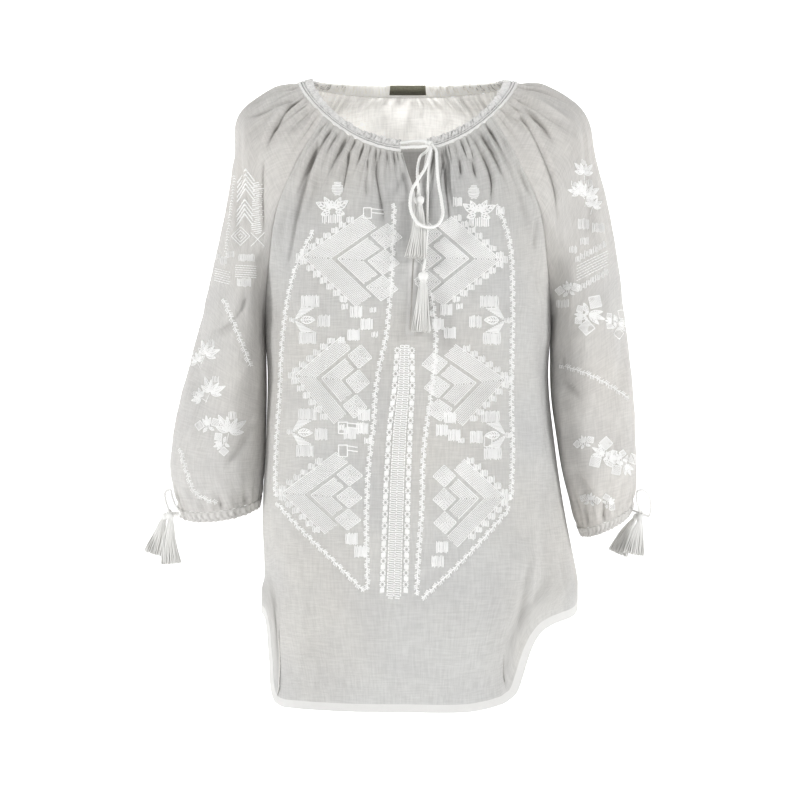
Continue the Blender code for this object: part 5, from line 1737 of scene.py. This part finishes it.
def cotton_material(name, cool, warm, doubled, shadow=(0.5, 0.49, 0.48), reach=0.010, inside_shade_and_glow=False):
    """Thin washed cotton: uneven threads both ways, soft patches of tone, whiter where it is doubled, and
    painted shade deep in its narrow folds. For the inside it also gets painted shade below the neckline and a
    painted glow.
    """
    shader = Shader(name, 0.85, 0.25)
    place = shader.node("ShaderNodeTexCoord")
    cloth = shader.node("ShaderNodeUVMap", uv_map="cloth").outputs["UV"]
    body = place.outputs["Object"]
    patches = shader.span(shader.noise(body, 5.0, 2.0), 0.36, 0.64)
    base = shader.mix(patches, cool, warm)
    warp = shader.noise(stretched(shader, cloth, 160.0, 6.0), 1.0, 3.0, 0.65)
    weft = shader.noise(stretched(shader, cloth, 6.0, 160.0), 1.0, 3.0, 0.65)
    threads = shader.math("ADD", warp, weft)
    slubs = shader.span(threads, 0.72, 1.3)
    tone = shader.mix(slubs, (0.86, 0.86, 0.86), (1.0, 1.0, 1.0))
    base = shader.mix(1.0, base, tone, "MULTIPLY")
    coarse_warp = shader.noise(stretched(shader, cloth, 46.0, 5.0), 1.0, 1.0)
    coarse_weft = shader.noise(stretched(shader, cloth, 5.0, 46.0), 1.0, 1.0)
    coarse = shader.span(shader.math("ADD", coarse_warp, coarse_weft), 0.75, 1.25)
    base = shader.mix(1.0, base, shader.mix(coarse, (0.92, 0.92, 0.92), (1.05, 1.05, 1.05)), "MULTIPLY")
    washed = shader.span(shader.noise(body, 16.0, 3.0), 0.35, 0.65)
    base = shader.mix(1.0, base, shader.mix(washed, (0.95, 0.95, 0.955), (1.03, 1.03, 1.025)), "MULTIPLY")
    layers = shader.node("ShaderNodeAttribute", attribute_name="layers").outputs["Fac"]
    base = shader.mix(shader.span(layers, 0.0, 1.0), base, doubled)
    # Painted shade: the cloth darkens toward the shadow colour deep in its own narrow folds
    folds = shader.mix(shader.painted_cavity_shade(reach, 0.0), shadow, (1.0, 1.0, 1.0))
    base = shader.mix(1.0, base, folds, "MULTIPLY")
    if inside_shade_and_glow:
        # Painted shade: the inside darkens just below the neckline, where little light falls, and grows light
        # again further down
        apart = shader.node("ShaderNodeSeparateXYZ")
        shader.wire(body, apart.inputs["Vector"])
        above = shader.span(apart.outputs["Z"], -0.073, -0.057)
        below = shader.span(apart.outputs["Z"], -0.14, -0.42)
        shade = shader.mix(shader.math("MAXIMUM", above, below), (0.3, 0.3, 0.3), (1.0, 1.0, 1.0))
        base = shader.mix(1.0, base, shade, "MULTIPLY")
        # Painted light: the inside glows in its own colour, standing in for light that comes through the thin
        # cloth from behind
        shader.wire(base, shader.surface.inputs["Emission Color"])
        shader.surface.inputs["Emission Strength"].default_value = 0.22
    shader.wire(base, shader.surface.inputs["Base Color"])
    shader.surface.inputs["Subsurface Weight"].default_value = 0.12
    shader.surface.inputs["Subsurface Radius"].default_value = (0.004, 0.004, 0.004)
    shader.surface.inputs["Subsurface Scale"].default_value = 1.0
    crumple = shader.noise(body, 55.0, 3.0)
    height = shader.math("ADD", shader.math("MULTIPLY", slubs, 0.35), shader.math("MULTIPLY", crumple, 0.8))
    shader.bump(height, 0.0009, 0.8)
    return shader.material


def thread_material(name, colour, grain, deep=None):
    """White mercerised thread: brighter than the cloth, with a fine twist. Given deep, it gets painted shade
    in the narrow gaps of its own strands.
    """
    shader = Shader(name, 0.5, 0.3)
    place = shader.node("ShaderNodeTexCoord").outputs["Object"]
    patches = shader.noise(place, 40.0, 2.0)
    base = shader.mix(shader.span(patches, 0.3, 0.7), colour, tuple(c * 0.95 for c in colour))
    if deep:
        # Painted shade deep between the yarn's own plies and strands
        folds = shader.mix(shader.painted_cavity_shade(0.004, 0.0), deep, (1.0, 1.0, 1.0))
        base = shader.mix(1.0, base, folds, "MULTIPLY")
    shader.wire(base, shader.surface.inputs["Base Color"])
    shader.bump(shader.noise(place, grain, 2.0), 0.0002, 0.4)
    return shader.material


def label_material():
    """Plain woven tape, greyish olive."""
    shader = Shader("label_tape", 0.8, 0.1)
    place = shader.node("ShaderNodeTexCoord").outputs["Object"]
    ribs = shader.node("ShaderNodeTexWave", bands_direction="Z", Scale=500.0, Distortion=1.5)
    shader.wire(place, ribs.inputs["Vector"])
    speckle = shader.noise(place, 900.0, 2.0)
    base = shader.mix(shader.span(speckle, 0.35, 0.65), (0.105, 0.102, 0.07), (0.17, 0.165, 0.12))
    shader.wire(base, shader.surface.inputs["Base Color"])
    shader.bump(ribs.outputs["Fac"], 0.0003, 0.7)
    return shader.material


# Camera: level, far in front, with the whole blouse in a square picture
CAMERA = Point(-9.4, -3000, -374)
LENS = 114.4


def studio():
    """A pale floor that turns up into a backdrop, soft light from all round, and the camera."""
    scene = bpy.context.scene
    camera = bpy.data.objects.new("camera", bpy.data.cameras.new("camera"))
    camera.data.lens = LENS
    camera.data.sensor_width = 36
    camera.location = np.array(CAMERA) * MM
    camera.rotation_euler = (math.radians(90), 0, 0)
    scene.collection.objects.link(camera)
    scene.camera = camera

    made = bmesh.new()
    outline = [(-4.5, 0.0)]
    outline += [(1.6 + 0.9 * math.sin(a), 0.9 - 0.9 * math.cos(a)) for a in np.linspace(0, math.pi / 2, 16)]
    outline += [(2.5, 5.0)]
    rows = [[made.verts.new((x, y, z - 1.02)) for x in (-6, 6)] for y, z in outline]
    for first, second in zip(rows, rows[1:]):
        face = made.faces.new((first[0], first[1], second[1], second[0]))
        face.smooth = True
    mesh = bpy.data.meshes.new("backdrop")
    made.to_mesh(mesh)
    made.free()
    paper = Shader("backdrop_paper", 0.9, 0.0)
    paper.surface.inputs["Base Color"].default_value = (0.92, 0.92, 0.92, 1)
    paper.surface.inputs["Emission Color"].default_value = (1, 1, 1, 1)
    paper.surface.inputs["Emission Strength"].default_value = 0.6
    # Seen from behind, the backdrop is clear
    clear = paper.node("ShaderNodeBsdfTransparent")
    either = paper.node("ShaderNodeMixShader")
    paper.wire(paper.node("ShaderNodeNewGeometry").outputs["Backfacing"], either.inputs[0])
    paper.wire(paper.surface.outputs["BSDF"], either.inputs[1])
    paper.wire(clear.outputs["BSDF"], either.inputs[2])
    paper.wire(either.outputs["Shader"], paper.tree.nodes["Material Output"].inputs["Surface"])
    link("backdrop", mesh, paper.material)

    world = bpy.data.worlds.new("studio")
    world.use_nodes = True
    world.node_tree.nodes["Background"].inputs["Color"].default_value = (1, 1, 1, 1)
    world.node_tree.nodes["Background"].inputs["Strength"].default_value = 0.2
    scene.world = world
    for name, place, size, power in (
        ("key", (-2.5, -1.5, 1.1), 0.5, 54),
        ("fill", (2.6, -1.6, 0.7), 0.6, 51),
        ("top", (0.2, 0.3, 2.2), 1.2, 3),
    ):
        light = bpy.data.objects.new(name, bpy.data.lights.new(name, "AREA"))
        light.data.size = size
        light.data.energy = power
        light.location = place
        way = Vector((0, 0, -0.35)) - Vector(place)
        light.rotation_euler = way.to_track_quat("-Z", "Y").to_euler()
        scene.collection.objects.link(light)
    neck = bpy.data.objects.new("neck_light", bpy.data.lights.new("neck_light", "SPOT"))
    neck.data.energy = 80
    neck.data.spot_size = math.radians(11)
    neck.data.spot_blend = 0.6
    neck.data.shadow_soft_size = 0.08
    neck.location = (0.0, -0.9, 1.0)
    neck.rotation_euler = (Vector((0, 0.07, 0.03)) - neck.location).to_track_quat("-Z", "Y").to_euler()
    scene.collection.objects.link(neck)
    scene.view_settings.view_transform = "Standard"


def surface_of(piece):
    """A piece's faces, for finding where a line meets them."""
    faces = [list(p.vertices) for p in piece.data.polygons]
    return BVHTree.FromPolygons([v.co for v in piece.data.vertices], faces)


def hemmed(cloth, turn_up):
    """Marks where the cloth lies double: the turned-up hem, the seams' edges, and the slit's facing."""
    width = np.array([cloth.panel.width(row) for row in cloth.rows])[:, None]
    from_edge = (1 - np.abs(cloth.sides)) * width / 2
    seam = np.clip((3.0 - from_edge) / 0.8, 0, 1) * 0.12
    rows = np.array(cloth.rows)[:, None]
    layers = np.maximum(np.zeros(cloth.sides.shape), np.where(rows <= SEAM_ROWS[-1] + 1, seam, 0))
    if turn_up:
        layers = np.maximum(layers, np.where(rows >= cloth.panel.knots[-1] - turn_up + 0.2, 1.0, 0.0))
    if cloth.slit is not None:
        half = cloth.sides.shape[1] // 2
        lips = [np.abs(cloth.sides - cloth.sides[:, k : k + 1]) for k in (half - 1, half)]
        inner = np.minimum(*lips)
        facing = np.clip((4.0 - inner * width / 2) / 0.8, 0, 1) * (rows <= cloth.slit)
        layers = np.maximum(layers, facing * 0.6)
    cloth.layers = layers


def rows_through(stretches, hem=None):
    """Rows of cloth from 0 through stretches of (end, count), and the close rows of a hem that ends there."""
    rows = [0.0]
    for end, count in stretches:
        rows.extend(np.linspace(rows[-1], end, count)[1:])
    if hem:
        rows.append(rows[-1] + 0.3)
        rows.extend(np.linspace(rows[-2], hem, 5)[1:])
    return np.array(rows)


def dress():
    """Builds each piece's finished form, hides the model's part that it replaces, and attaches it to the
    root.
    """
    studio()

    cotton = cotton_material("cotton", (0.59, 0.59, 0.58), (0.62, 0.605, 0.575), (0.71, 0.705, 0.69))
    sleeve_tones = ((0.645, 0.635, 0.615), (0.675, 0.65, 0.615), (0.75, 0.74, 0.72))
    sleeve_cotton = cotton_material("sleeve_cotton", *sleeve_tones)
    # The inside faces are a much lighter copy of the cotton: painted light, standing in for light that falls
    # in through the neck and shines through the thin cloth
    painted_light_inside_tones = ((0.88, 0.865, 0.825), (0.91, 0.885, 0.845), (0.93, 0.92, 0.88))
    inside = cotton_material("inside_cotton", *painted_light_inside_tones, inside_shade_and_glow=True)
    # The casing's last tone is its painted shade, near black deep in the ruches
    casing_tones = ((0.78, 0.775, 0.76), (0.82, 0.81, 0.79), (0.88, 0.875, 0.86), (0.1, 0.095, 0.09))
    casing = cotton_material("casing_cotton", *casing_tones, reach=0.004)
    silk = thread_material("embroidery_thread", (0.97, 0.97, 0.96), 1500.0)
    # The yarn's last colour is its painted shade between plies and strands
    yarn = thread_material("yarn", (0.93, 0.93, 0.91), 2200.0, (0.74, 0.73, 0.71))
    tape = label_material()

    front = body_panel(True)
    back = body_panel(False)
    sleeves = {hand: sleeve_panel(hand) for hand in (-1, 1)}
    front.neighbours = [(sleeves[-1], 1), (sleeves[1], 1)]
    back.neighbours = [(sleeves[-1], -1), (sleeves[1], -1)]
    sleeves[1].neighbours = [(back, 1), (front, 1)]
    sleeves[-1].neighbours = [(back, -1), (front, -1)]

    threads = thread_tree()
    slit = front.row_at(SLIT_LENGTH)
    hem = front.knots[-1]
    rows = rows_through([(60, 27), (slit, 40), (hem - HEM_BAND, 62)], hem)
    front_relief = (FRONT_GATHERS, FRONT_TUCKS, FRONT_FOLDS, FRONT_CREASES)
    front_cloth = Cloth(front, rows, 300, *front_relief, 5, slit=slit)
    hemmed(front_cloth, HEM_BAND)
    front_piece = cloth_object("front_cloth", front_cloth, cotton, inside)
    front_surface = surface_of(front_piece)

    # The cords come before the other pieces
    knot = np.array(lie_on(front, [NECK_KNOT])[0])

    def leaving(name):
        way = unit(np.array(NECK_LEAVES[name]))
        return [knot + way * 2.4, knot + way * (NECK_KNOT_SIZE / 2 + 1.5)]

    def lying(points, radius=CORD / 2):
        return lie_on(front, points, front_surface, radius)

    strands = []
    for name, line, down in (("upper", STRAND_UPPER, 5.0), ("lower", STRAND_LOWER, 12.5)):
        start = neck_point(np.float64(CASING_ENDS[1]), down, 0.4)
        line = [start - [2.0, 0, 0], start + [2.5, 0, 0]] + lie_on(front, line) + leaving(name)[::-1]
        strands.append(cord_object(f"neck_tie_strand_{name}_cord", line, CORD, yarn)[0])
        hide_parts(f"neck_tie_strand_{name}")
    neck_knot = knot_object("neck_knot", knot, NECK_KNOT_SIZE, 3.7, (0.1, -1, 0.15), yarn)
    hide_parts("neck_tie_knot")
    declare = []
    loop_points = leaving("loop_start") + lying(NECK_LOOP) + leaving("loop_end")[::-1]
    loop, loop_line = cord_object("neck_loop", loop_points, CORD, yarn)
    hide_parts("neck_tie_loop")
    declare.append((loop, loop_line, CORD, "knot", [neck_knot] + strands))
    ends = (
        ("short", SHORT_END, SHORT_TASSEL, (8.0, 12.2), 0.5, 0),
        ("long", LONG_END, LONG_TASSEL, (7.8, 10.8), 0.6, 20),
    )
    for name, line, hang, spread, flatten, seed in ends:
        placed = lying(line, 1.8)
        first = lie_on(front, hang[:1])[0]
        into = np.array(placed[-1]) + (np.array(first) - np.array(placed[-1])) * 0.6
        cord, cord_line = cord_object(f"neck_{name}_cord", leaving(name) + placed + [into], CORD * 0.9, yarn)
        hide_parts(f"neck_tie_{name}_end")
        hanging = [np.array(placed[-1], float)] + lie_on(front, hang)
        made = tassel(f"neck_{name}_tassel", hanging, NECK_HEAD, spread, flatten, 150, threads, yarn, seed)
        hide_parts(f"neck_tassel_{name}")
        declare.append((cord, cord_line, CORD * 0.9, "fitting", [made]))
    for tie in CUFF_TIES:
        centre = np.array(tie.knot, float)
        name = f"cuff_{tie.name}"
        root = cuff_point(tie.hand, np.float64(tie.root), 6.0, 0.6)
        knot_piece = knot_object(f"{name}_knot", centre, CUFF_KNOT_SIZE, 2.8, (0.1, -1, 0.1), yarn)
        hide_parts(f"{name}_tie_knot")
        root_points = [root, (root + centre) / 2 + [0, -0.6, 0], centre]
        root_cord = cord_object(f"{name}_root", root_points, CUFF_CORD, yarn)[0]
        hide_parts(f"{name}_tie_root")

        def near(point, reach):
            return centre + unit(np.array(point, float) - centre) * reach

        head = np.array(tie.inner[0]) + unit(np.array(tie.inner[1]) - np.array(tie.inner[0])) * 7
        points = [head, near(tie.inner[0], 2.0), near(tie.loop[0], 5.8)] + tie.loop
        points += [near(tie.loop[-1], 5.8), near(tie.loop[-1], 2.0)]
        cord, cord_line = cord_object(f"{name}_loop", points, CUFF_CORD, yarn)
        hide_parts(f"{name}_tie_loop")
        pieces = [knot_piece, root_cord]
        for k, (which, hang) in enumerate((("outer", tie.outer), ("inner", tie.inner))):
            line = [near(hang[0], 3.2)] + hang
            seed = 40 + 10 * k
            skirt = ((8.2, 12.4), 0.5, 130)
            made = tassel(f"{name}_{which}_tassel", line, CUFF_HEAD, *skirt, threads, yarn, seed)
            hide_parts(f"{name}_tassel_{which}")
            pieces.append(made)
        declare.append((cord, cord_line, CUFF_CORD, "knot", pieces))
    for cord, line, diameter, far_end, pieces in declare:
        for piece in [cord] + pieces:
            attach(piece, "root")

    hem = back.knots[-1]
    rows = rows_through([(60, 22), (hem - HEM_BAND, 88)], hem)
    back_cloth = Cloth(back, rows, 220, BACK_GATHERS, BACK_TUCKS, BACK_FOLDS, BACK_CREASES, 61)
    hemmed(back_cloth, HEM_BAND)
    back_piece = cloth_object("back_cloth", back_cloth, cotton, inside)
    sleeve_pieces = {}
    sleeve_cloths = {}
    for hand, name in ((1, "left"), (-1, "right")):
        panel = sleeves[hand]
        last = panel.knots[-1]
        rows = rows_through([(60, 26), (215, 44), (last - 60, 48), (last, 26)])
        relief = (CAP_GATHERS, CAP_TUCKS, SLEEVE_FOLDS, SLEEVE_CREASES)
        cloth = Cloth(panel, rows, 220, *relief, 90 + hand, cuff=(CUFF_GATHERS, CUFF_TUCKS))
        hemmed(cloth, 0)
        sleeve_cloths[hand] = cloth
        sleeve_pieces[hand] = cloth_object(f"sleeve_{name}_cloth", cloth, sleeve_cotton, inside)
    band = neck_casing(casing, inside)
    cuffs = {
        1: cuff_casing(1, "cuff_left_band", sleeve_cotton),
        -1: cuff_casing(-1, "cuff_right_band", sleeve_cotton),
    }

    rings = []
    for side in np.linspace(-0.13, 0.13, 21):
        outline = [(0, -2.0), (0, -2.6), (6, -2.75), (13, -2.6), (13, -2.0), (6, -2.15)]
        angle = np.float64(180 - 85 * side)
        ring = [neck_point(angle, np.float64(down), np.float64(height)) for down, height in outline]
        rings.append(np.array(ring))
    label = lofted("label_tape", rings, tape, False)

    lines = on_cloth(front_embroidery(), front_surface, STITCH_LIFT)
    front_stitches = thread_object("front_embroidery", lines, FRONT_THREAD, 4, threads, silk)
    sleeve_stitches = {}
    for hand, plan in ((1, sleeve_left_embroidery()), (-1, sleeve_right_embroidery())):
        lines = on_cloth(plan, surface_of(sleeve_pieces[hand]), STITCH_LIFT)
        name = f"sleeve_{'left' if hand > 0 else 'right'}_embroidery"
        sleeve_stitches[hand] = thread_object(name, lines, SLEEVE_THREAD, 4, threads, silk)

    cad_slots = (
        (front_piece, "front", "cotton"),
        (back_piece, "back", "cotton"),
        (sleeve_pieces[1], "sleeve_left", "cotton"),
        (sleeve_pieces[-1], "sleeve_right", "cotton"),
        (band, "neck_casing", "cotton"),
        (cuffs[1], "cuff_left", "cotton"),
        (cuffs[-1], "cuff_right", "cotton"),
        (label, "label", "label_tape"),
    )
    for piece, node, slot in cad_slots:
        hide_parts(node)
        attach(piece, "root")
    for piece in (front_stitches, *sleeve_stitches.values()):
        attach(piece, "root")


dress()
